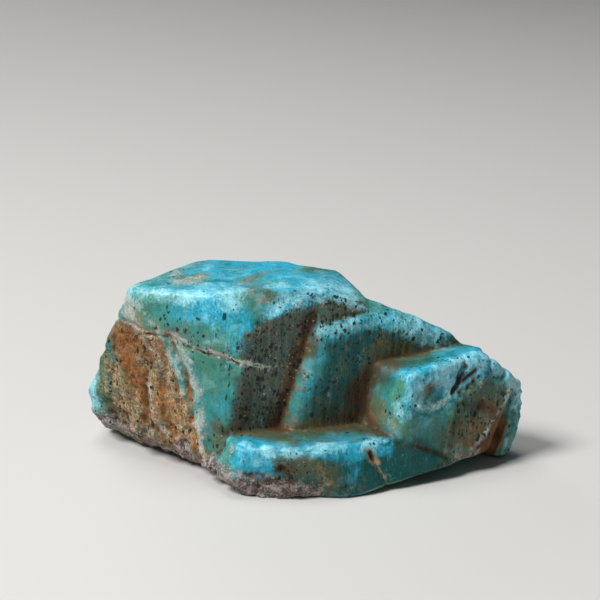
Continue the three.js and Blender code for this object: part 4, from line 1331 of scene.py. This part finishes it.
        brush(Tint.CRUST, 1.0, 2.3, *self.crust, patchy=0.4)
        brush(Tint.CRUST, 0.6, 1.8, (-3, -21, 2.8), (0.6, -20.9, 1.8), (3, -20.8, 1.4))
        brush(Tint.AMBER, 0.5, 1.2, (-18.6, -15, 5.2), (-16.6, -16.8, 5), (-15.4, -18.2, 5.6))
        # Painted shade over the crust.
        brush(Tint.UMBER, 0.35, 3.0, *self.crust[1:])
        brush(Tint.CRUST, 0.8, 0.7, (-5.2, -21.4, 8), (-4, -21.5, 7.6))
        brush(Tint.UMBER, 0.8, 0.8, (-5, -21.2, 6.4), (-3.3, -21.2, 5.2), (-2.4, -20.9, 3.6))
        brush(Tint.SPECK, 0.95, 1.3, (-4.6, -21.2, 6.2), (-3.2, -21, 4.6))
        brush(Tint.UMBER, 0.7, 0.9, (-11, -20.2, 4.6), (-8, -20.6, 4.4), (-5.4, -20.9, 4))
        brush(Tint.TAN, 0.7, 0.9, (2.5, -21.9, 7.6), (3.5, -21.4, 5), (4.8, -21.1, 3))
        brush(Tint.CRUST, 0.35, 1.4, (8.8, -20.2, 4), (6.6, -21, 1.8))
        brush(Tint.OLIVE, 0.9, 1.5, *self.crack[:2])
        brush(Tint.TAN, 1.0, 1.1, *self.crack, soft=0.5, patchy=0.5)
        brush(Tint.CHALK, 0.7, 0.7, *self.crack[2:])
        brush(Tint.UMBER, 0.9, 0.6, (12.2, -17.6, 8.2), (12.8, -17.4, 6.6))
        brush(Tint.BLOOM, -0.9, 4.0, *self.teal_side)
        brush(Tint.SKY, -0.5, 3.4, *self.teal_side)
        brush(Tint.DEEP, 0.9, 4.0, *self.teal_side)
        brush(Tint.DEEP, 0.85, 1.3, *self.side_line, patchy=0.4)
        brush(Tint.SKY, -0.8, 1.3, *self.side_line, patchy=0.4)
        brush(Tint.BLOOM, -0.8, 1.0, *self.side_line, patchy=0.4)
        brush(Tint.UMBER, 0.75, 0.6, *self.side_line, patchy=0.2)
        brush(Tint.CRUST, 0.6, 1.2, (26.6, -12, 4.8), (29, -10.9, 5), (30.4, -10, 6.4))
        brush(Tint.CRUST, 0.5, 0.5, (15.8, -15.2, 10.2), (19, -15.8, 9.4), (24.1, -13.5, 6.8))


REGIONS: tuple[Region, ...] = (
    Whole(), MainCrystal(), Wing(), Shoulder(), MiddleCrystal(), RightBlock(), OliveBlock(), Foot(),
)


# ------------------------------------------------------------------ shading


class Value:
    """A socket of a material that takes part in sums and products."""

    def __init__(self, board: Board, socket: bpy.types.NodeSocket) -> None:
        """Wrap a socket that belongs to a board."""
        self.board = board
        self.socket = socket

    def __add__(self, other: Value | float) -> Value:
        """Add."""
        return self.board.maths("ADD", self, other)

    def __radd__(self, other: float) -> Value:
        """Add to a number."""
        return self.board.maths("ADD", other, self)

    def __sub__(self, other: Value | float) -> Value:
        """Subtract."""
        return self.board.maths("SUBTRACT", self, other)

    def __rsub__(self, other: float) -> Value:
        """Subtract from a number."""
        return self.board.maths("SUBTRACT", other, self)

    def __mul__(self, other: Value | float) -> Value:
        """Multiply."""
        return self.board.maths("MULTIPLY", self, other)

    def __rmul__(self, other: float) -> Value:
        """Multiply a number."""
        return self.board.maths("MULTIPLY", other, self)

    def __lt__(self, other: Value | float) -> Value:
        """1 where it is less, 0 elsewhere."""
        return self.board.maths("LESS_THAN", self, other)

    def ramp(self, low: float, high: float) -> Value:
        """Fade from 0 at low to 1 at high.

        Args:
            low: Where the fade starts.
            high: Where it ends.

        Returns:
            The fade.
        """
        settings = {"interpolation_type": "SMOOTHSTEP"}
        sockets = {"Value": self, "From Min": low, "From Max": high}
        node = self.board.node("ShaderNodeMapRange", settings, sockets)
        return Value(self.board, node.outputs["Result"])


class Board:
    """A material's node tree, to which nodes are added by method."""

    def __init__(self, name: str) -> None:
        """Start an empty material.

        Args:
            name: The material's name.
        """
        self.material = bpy.data.materials.new(name)
        self.material.use_nodes = True
        self.tree = self.material.node_tree
        self.tree.nodes.clear()

    def node(self, kind: str, settings: dict | None = None, sockets: dict | None = None) -> bpy.types.Node:
        """Add a node.

        Args:
            kind: The node's type.
            settings: Its own settings, which are set first.
            sockets: Values or links for its inputs, by name or number.

        Returns:
            The node.
        """
        node = self.tree.nodes.new(kind)
        for name, value in (settings or {}).items():
            setattr(node, name, value)
        for name, value in (sockets or {}).items():
            self.plug(node.inputs[name], value)
        return node

    def plug(self, socket: bpy.types.NodeSocket, value: object) -> None:
        """Link a value to an input, or set a plain number or colour on it.

        Args:
            socket: The input.
            value: A value of this board, a number, a colour or a vector.
        """
        if isinstance(value, Value):
            self.tree.links.new(value.socket, socket)
        elif isinstance(value, tuple) and socket.type == "RGBA":
            socket.default_value = (*value, 1.0)
        else:
            socket.default_value = value

    def finished(self, sockets: dict) -> bpy.types.Material:
        """Close the tree with a shader.

        Args:
            sockets: Values or links for the shader's inputs, by name.

        Returns:
            The material.
        """
        shader = self.node("ShaderNodeBsdfPrincipled", None, sockets)
        output = self.node("ShaderNodeOutputMaterial")
        self.tree.links.new(shader.outputs[0], output.inputs["Surface"])
        return self.material

    def maths(self, operation: str, first: Value | float, second: Value | float) -> Value:
        """Work out one step of shader maths."""
        node = self.node("ShaderNodeMath", {"operation": operation}, {0: first, 1: second})
        return Value(self, node.outputs[0])

    def mix(self, share: Value, first: Value | Colour, second: Value | Colour) -> Value:
        """Blend two colours."""
        node = self.node("ShaderNodeMix", {"data_type": "RGBA"}, {0: share, 6: first, 7: second})
        return Value(self, node.outputs[2])

    def shade(self, colour: Value, factor: Value) -> Value:
        """Make a colour darker or lighter."""
        node = self.node("ShaderNodeVectorMath", {"operation": "SCALE"}, {0: colour, "Scale": factor})
        return Value(self, node.outputs[0])

    def tint(self, tint: Tint) -> Value:
        """Read one of the mesh's tints."""
        node = self.node("ShaderNodeAttribute", {"attribute_name": tint.value})
        return Value(self, node.outputs["Fac"])

    def place(self) -> Value:
        """The place on the stone, in metres."""
        return Value(self, self.node("ShaderNodeTexCoord").outputs["Object"])

    def scaled(self, place: Value, factors: Colour) -> Value:
        """Multiply a place by a factor for each axis."""
        node = self.node("ShaderNodeVectorMath", {"operation": "MULTIPLY"}, {0: place, 1: factors})
        return Value(self, node.outputs[0])

    def noise(self, place: Value, size: float, detail: float = 2.0, twist: float = 0.0) -> Value:
        """Soft random values.

        Args:
            place: Where the noise is read, in metres.
            size: How wide one lump is, in millimetres.
            detail: How many finer layers it has.
            twist: How much it is distorted.

        Returns:
            The noise, from 0 to 1.
        """
        sockets = {"Vector": place, "Scale": 1.0 / (size * MM), "Detail": detail, "Distortion": twist}
        return Value(self, self.node("ShaderNodeTexNoise", None, sockets).outputs["Fac"])

    def specks(self, place: Value, spacing: float, density: Value) -> Value:
        """Ragged specks of all sizes that gather in clusters.

        Args:
            place: Where they are read, in metres.
            spacing: The distance between neighbours, in millimetres.
            density: How many of the places hold a speck, from 0 to 1.

        Returns:
            1 in a speck, 0 elsewhere.
        """
        wobble_scale = 1.0 / (0.45 * spacing * MM)
        wobble = self.node("ShaderNodeTexNoise", None, {"Vector": place, "Scale": wobble_scale})
        push = self.node(
            "ShaderNodeVectorMath",
            {"operation": "MULTIPLY_ADD"},
            {0: Value(self, wobble.outputs["Color"]), 1: (0.8 * spacing * MM,) * 3, 2: place},
        )
        cell_sockets = {"Vector": Value(self, push.outputs[0]), "Scale": 1.0 / (spacing * MM)}
        cells = self.node("ShaderNodeTexVoronoi", None, cell_sockets)
        chance = self.node("ShaderNodeSeparateColor", None, {0: Value(self, cells.outputs["Color"])})
        clusters = self.noise(place, 3.2 * spacing, 1.0).ramp(0.38, 0.62)
        shore = Value(self, chance.outputs["Green"]) * 0.36 + 0.12
        inside = 1.0 - (Value(self, cells.outputs["Distance"]) - shore).ramp(-0.03, 0.05)
        return inside * (Value(self, chance.outputs["Red"]) < density * (clusters * 0.9 + 0.1))


class Grain(Enum):
    """Which of the stone's grains frays the border of a wash."""

    SOFT = "soft"
    HARD = "hard"
    EDGED = "edged"


@dataclass(frozen=True)
class Wash:
    """How one tint shows on the stone.

    The grain, times fray, is added to the tint. The wash starts to show where the two reach
    start, shows fully at full, and never covers more than the share of most.
    """

    tint: Tint
    colour: Colour
    fray: float
    start: float
    full: float
    most: float = 1.0
    grain: Grain = Grain.SOFT


@dataclass(frozen=True)
class Speckling:
    """One size of black specks."""

    spacing: float
    share: float
    strength: float


class Texture:
    """The noises and tints that the stone's material is mixed from."""

    def __init__(self, board: Board) -> None:
        """Lay the noises out on a board.

        Args:
            board: The material's board.
        """
        place = board.place()
        self.board = board
        self.place = place
        self.tint = {tint: board.tint(tint) for tint in Tint}
        self.fine = board.noise(place, 0.42, 3.0)
        self.medium = board.noise(place, 2.0, 3.0, 0.6)
        self.broad = board.noise(place, 7.0, 3.0, 0.5)
        self.marble = board.noise(board.scaled(place, (0.6, 1.0, 0.8)), 2.6, 4.0, 0.4)
        self.open_ground = 1.0 - board.maths("MAXIMUM", self.tint[Tint.GLOOM], self.tint[Tint.DEEP])
        upright = board.noise(board.scaled(place, (1.0, 1.0, 0.14)), 0.4, 2.0)
        level = board.noise(board.scaled(place, (0.16, 0.8, 1.0)), 0.4, 2.0)
        self.streaks = upright + (level - upright) * self.tint[Tint.LEVEL]
        soft = (self.medium - 0.5) * 0.9 + (self.fine - 0.5) * 0.4 + (self.streaks - 0.5) * 0.5
        hard = (self.medium - 0.5) * 0.9 + (self.fine - 0.5) * 0.6
        edged = soft + (hard - soft) * self.tint[Tint.BROKEN]
        self.grains = {Grain.SOFT: soft, Grain.HARD: hard, Grain.EDGED: edged}

    def wash(self, under: Value, wash: Wash, over: Value | None = None) -> Value:
        """Lay a tint's wash over a colour.

        Args:
            under: The colour so far.
            wash: The wash.
            over: A mixed colour to lay instead of the wash's own.

        Returns:
            The new colour.
        """
        level = self.tint[wash.tint] + self.grains[wash.grain] * wash.fray
        share = level.ramp(wash.start, wash.full) * wash.most
        return self.board.mix(share, under, over or wash.colour)


@dataclass(frozen=True)
class AmazoniteFinish:
    """The stone's finish: blue-green feldspar with stains, specks and a pale crust."""

    teal: Colour = (0.038, 0.270, 0.255)
    green: Colour = (0.080, 0.245, 0.150)
    sky: Colour = (0.020, 0.370, 0.530)
    deep: Colour = (0.002, 0.082, 0.078)
    olive: Colour = (0.085, 0.095, 0.038)
    gloom: Colour = (0.085, 0.115, 0.088)
    tan: Colour = (0.300, 0.205, 0.100)
    rust: Colour = (0.250, 0.122, 0.046)
    amber: Colour = (0.360, 0.125, 0.022)
    umber: Colour = (0.050, 0.026, 0.015)
    # Pale blue for painted highlights, and for frost, marbling and streaks.
    highlight_and_frost: Colour = (0.300, 0.690, 0.780)
    crust: Colour = (0.340, 0.290, 0.275)
    dirt: Colour = (0.110, 0.082, 0.068)
    cream: Colour = (0.480, 0.410, 0.290)
    chalk: Colour = (0.420, 0.460, 0.420)
    speck: Colour = (0.006, 0.016, 0.013)
    cool_washes: tuple[Wash, ...] = (
        Wash(Tint.DEEP, deep, 0.7, 0.12, 0.85),
        Wash(Tint.SKY, sky, 0.7, 0.12, 0.85),
        Wash(Tint.GLOOM, gloom, 0.6, 0.12, 0.85),
        Wash(Tint.OLIVE, olive, 1.0, 0.2, 0.9, 0.92),
    )
    warm_washes: tuple[Wash, ...] = (
        Wash(Tint.TAN, tan, 0.8, 0.1, 1.1, grain=Grain.EDGED),
        Wash(Tint.RUST, rust, 0.8, 0.1, 1.0, grain=Grain.EDGED),
        Wash(Tint.AMBER, amber, 0.9, 0.12, 0.95, 0.88),
        # The pale blue wash: mostly painted highlights on edges and ridges.
        Wash(Tint.BLOOM, highlight_and_frost, 0.9, 0.15, 0.95, 0.85),
        Wash(Tint.CHALK, chalk, 0.9, 0.2, 0.95, 0.9, Grain.HARD),
        Wash(Tint.CRUST, crust, 1.2, 0.25, 0.9, grain=Grain.HARD),
        Wash(Tint.UMBER, umber, 0.8, 0.12, 0.9, 0.94),
    )
    specklings: tuple[Speckling, ...] = (
        Speckling(0.8, 1.0, 0.93), Speckling(0.5, 1.0, 0.8), Speckling(1.25, 0.4, 0.9),
    )
    roughness: float = 0.36
    coat_roughness: float = 0.32
    relief_height: float = 0.24

    def material(self) -> bpy.types.Material:
        """Make the material.

        Returns:
            The material.
        """
        texture = Texture(Board("amazonite"))
        colour = self._feldspar(texture)
        colour = self._weathering(texture, colour)
        colour = self._specks(texture, colour)
        return self._skin(texture, colour)

    def _feldspar(self, texture: Texture) -> Value:
        """Mix the blue-green ground with its marbling, frost and streaks.

        Args:
            texture: The noises and tints.

        Returns:
            The ground's colour.
        """
        board, marble, streaks = texture.board, texture.marble, texture.streaks
        cloud = texture.broad + texture.grains[Grain.SOFT] * 0.3
        colour = board.mix(cloud.ramp(0.42, 0.62), self.teal, self.green)
        for wash in self.cool_washes:
            colour = texture.wash(colour, wash)
        colour = board.mix(marble.ramp(0.52, 0.72) * 0.5, colour, self.deep)
        colour = board.mix(marble.ramp(0.46, 0.3) * 0.3 * texture.open_ground, colour, self.highlight_and_frost)
        frost = board.noise(texture.place, 1.3, 4.0, 1.2).ramp(0.58, 0.8) * texture.open_ground
        colour = board.mix(frost * 0.1, colour, self.highlight_and_frost)
        colour = board.mix(streaks.ramp(0.55, 0.8) * 0.1, colour, self.highlight_and_frost)
        return board.mix(streaks.ramp(0.46, 0.25) * 0.25, colour, self.deep)

    def _weathering(self, texture: Texture, colour: Value) -> Value:
        """Lay sand, rust, frost, chalk, crust and dirt over the ground.

        Args:
            texture: The noises and tints.
            colour: The ground's colour.

        Returns:
            The stained colour.
        """
        board, fine, medium, broken = texture.board, texture.fine, texture.medium, texture.tint[Tint.BROKEN]
        sandy = (fine * 0.6 + texture.streaks * 0.4).ramp(0.45, 0.65) * (0.3 + broken)
        rusty = board.mix(medium.ramp(0.4, 0.7), self.rust, self.umber)
        gritty = (fine * 0.5 + medium * 0.5).ramp(0.42, 0.58)
        mixed = {
            Tint.TAN: board.mix(sandy, self.tan, self.cream),
            Tint.RUST: board.mix(fine.ramp(0.52, 0.8) * 0.4, rusty, self.tan),
            Tint.CRUST: board.mix(gritty, self.dirt, self.crust),
        }
        for wash in self.warm_washes:
            colour = texture.wash(colour, wash, mixed.get(wash.tint))
        return colour

    def _specks(self, texture: Texture, colour: Value) -> Value:
        """Add pale glints, a grainy shade and black specks.

        Args:
            texture: The noises and tints.
            colour: The stained colour.

        Returns:
            The finished colour.
        """
        board, tint = texture.board, texture.tint
        sandiness = tint[Tint.TAN] * tint[Tint.BROKEN]
        glints = board.specks(texture.place, 0.55, tint[Tint.GLOOM] * 0.25 + sandiness * 0.25)
        colour = board.mix(glints * 0.5, colour, self.cream)
        grainy = (texture.fine - 0.5) * (tint[Tint.BROKEN] * 0.2 + 1.1)
        colour = board.shade(colour, 1.0 + grainy + (texture.medium - 0.5) * 0.7)
        drawn = board.scaled(texture.place, (1.0, 1.0, 0.7))
        for size in self.specklings:
            specks = board.specks(drawn, size.spacing, tint[Tint.SPECK] * size.share)
            colour = board.mix(specks * size.strength, colour, self.speck)
        return colour

    def _skin(self, texture: Texture, colour: Value) -> bpy.types.Material:
        """Give the colour its gloss and its finest relief.

        Args:
            texture: The noises and tints.
            colour: The finished colour.

        Returns:
            The material.
        """
        board, tint = texture.board, texture.tint
        matt = board.maths("MAXIMUM", tint[Tint.BROKEN] * 0.8, tint[Tint.CRUST])
        matt = board.maths("MAXIMUM", matt, tint[Tint.UMBER])
        grit = board.noise(texture.place, 0.25, 2.0) * (0.2 + tint[Tint.BROKEN])
        relief = texture.fine * 0.5 + texture.streaks * 0.4 + grit
        bump = board.node(
            "ShaderNodeBump", None, {"Strength": 0.8, "Distance": self.relief_height * MM, "Height": relief}
        )
        sockets = {
            "Base Color": colour,
            "Roughness": self.roughness + (texture.medium - 0.5) * 0.3 + matt * 0.4,
            "Normal": Value(board, bump.outputs[0]),
            "Specular IOR Level": 0.14,
            "Coat Weight": (0.8 - matt).ramp(0.2, 0.8) * 0.3,
            "Coat Roughness": self.coat_roughness,
            "Subsurface Weight": 0.1,
            "Subsurface Scale": 0.8 * MM,
            "Subsurface Radius": (0.3, 0.9, 1.0),
        }
        return board.finished(sockets)


# -------------------------------------------------------------------- stone


@dataclass(frozen=True)
class Stone:
    """The specimen itself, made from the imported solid."""

    voxel: float = 0.33
    rounding: int = 26
    kept_share: float = 0.73
    finish: AmazoniteFinish = AmazoniteFinish()

    def build(self, node: bpy.types.Object) -> bpy.types.Object:
        """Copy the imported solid, close its skin and round its edges.

        Args:
            node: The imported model's node.

        Returns:
            The new piece.
        """
        bpy.ops.object.select_all(action="DESELECT")
        node.select_set(True)
        bpy.context.view_layer.objects.active = node
        bpy.ops.object.duplicate()
        stone = bpy.context.active_object
        stone.name = "amazonite_stone"
        for mark in [key for key in stone.keys() if key.startswith("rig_")]:
            del stone[mark]
        bpy.ops.object.mode_set(mode="EDIT")
        bpy.ops.mesh.select_all(action="SELECT")
        bpy.ops.mesh.remove_doubles(threshold=0.001 * MM)
        bpy.ops.object.mode_set(mode="OBJECT")
        self._modify(stone, "REMESH", {"mode": "VOXEL", "voxel_size": self.voxel * MM})
        self._modify(stone, "SMOOTH", {"factor": 0.5, "iterations": self.rounding})
        bpy.ops.object.shade_smooth()
        return stone

    def dress(self, stone: bpy.types.Object) -> None:
        """Weather, stain and finish the stone.

        Args:
            stone: The piece.
        """
        surface = Surface(stone.data)
        for region in REGIONS:
            region.weather(surface)
        surface.settle()
        for region in REGIONS:
            region.stain(surface)
        surface.write()
        self._modify(stone, "DECIMATE", {"ratio": self.kept_share})
        stone.data.materials.clear()
        stone.data.materials.append(self.finish.material())
        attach(stone, "root")
        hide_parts(NODE)
        LOG.info("%s: %d faces", stone.name, len(stone.data.polygons))

    @staticmethod
    def _modify(piece: bpy.types.Object, kind: str, settings: dict) -> None:
        """Add a modifier to the active piece and apply it.

        Args:
            piece: The piece.
            kind: The kind of modifier.
            settings: Its settings, by name.
        """
        bpy.ops.object.modifier_add(type=kind)
        modifier = piece.modifiers[-1]
        for name, value in settings.items():
            setattr(modifier, name, value)
        bpy.ops.object.modifier_apply(modifier=modifier.name)


# ------------------------------------------------------------------- studio


@dataclass(frozen=True)
class SoftBox:
    """A square lamp that looks at the stone."""

    name: str
    place: Point
    side: float
    power: float
    colour: Colour = (1.0, 1.0, 1.0)

    def build(self, target: Vector) -> bpy.types.Object:
        """Hang the lamp.

        Args:
            target: What it looks at, in metres.

        Returns:
            The lamp.
        """
        bpy.ops.object.light_add(type="AREA", location=Vector(self.place) * MM)
        lamp = bpy.context.active_object
        lamp.name = self.name
        lamp.data.shape = "SQUARE"
        lamp.data.size = self.side * MM
        lamp.data.energy = self.power
        lamp.data.color = self.colour
        lamp.rotation_euler = (target - lamp.location).to_track_quat("-Z", "Y").to_euler()
        return lamp


@dataclass(frozen=True)
class Studio:
    """The pale floor, the soft boxes and the camera."""

    floor_side: float = 6000.0
    floor_colour: Colour = (0.60, 0.59, 0.57)
    world_strength: float = 0.08
    camera_place: Point = (-1.0, -316.2, 132.0)
    camera_pitch: float = 17.3
    lens: float = 100.0
    boxes: tuple[SoftBox, ...] = (
        SoftBox("lamp_key", (-520.0, -380.0, 760.0), 300.0, 11.0),
        SoftBox("lamp_top", (-160.0, 60.0, 860.0), 420.0, 2.4),
        SoftBox("lamp_rim", (-420.0, 860.0, 460.0), 420.0, 1.2),
    )

    def build(self) -> None:
        """Set up floor, lamps, surroundings and camera."""
        self._floor()
        for box in self.boxes:
            box.build(Vector((0.0, 0.0, 18.0 * MM)))
        world = bpy.data.worlds.new("studio")
        world.use_nodes = True
        world.node_tree.nodes["Background"].inputs["Color"].default_value = (0.9, 0.93, 1.0, 1.0)
        world.node_tree.nodes["Background"].inputs["Strength"].default_value = self.world_strength
        bpy.context.scene.world = world
        bpy.ops.object.camera_add(
            location=Vector(self.camera_place) * MM,
            rotation=(math.radians(90.0 - self.camera_pitch), 0.0, 0.0),
        )
        camera = bpy.context.active_object
        camera.data.lens = self.lens
        bpy.context.scene.camera = camera
        bpy.context.scene.view_settings.view_transform = "Standard"

    def _floor(self) -> None:
        """Lay the floor."""
        bpy.ops.mesh.primitive_plane_add(size=self.floor_side * MM)
        floor = bpy.context.active_object
        floor.name = "studio_floor"
        paint = Board("floor_paint").finished({"Base Color": self.floor_colour, "Roughness": 0.85})
        floor.data.materials.append(paint)
        floor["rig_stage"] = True


def corners() -> list[list[float]]:
    """The lowest and highest corner of what shows, as plain lists."""
    return [[float(value) for value in corner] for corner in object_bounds()]


def main() -> None:
    """Build the stone and its studio."""
    logging.basicConfig(level=logging.INFO, format="%(name)s %(message)s")
    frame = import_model()
    specimen = Stone()
    piece = specimen.build(frame["nodes"][NODE])
    specimen.dress(piece)
    Studio().build()


if __name__ == "__main__":
    main()
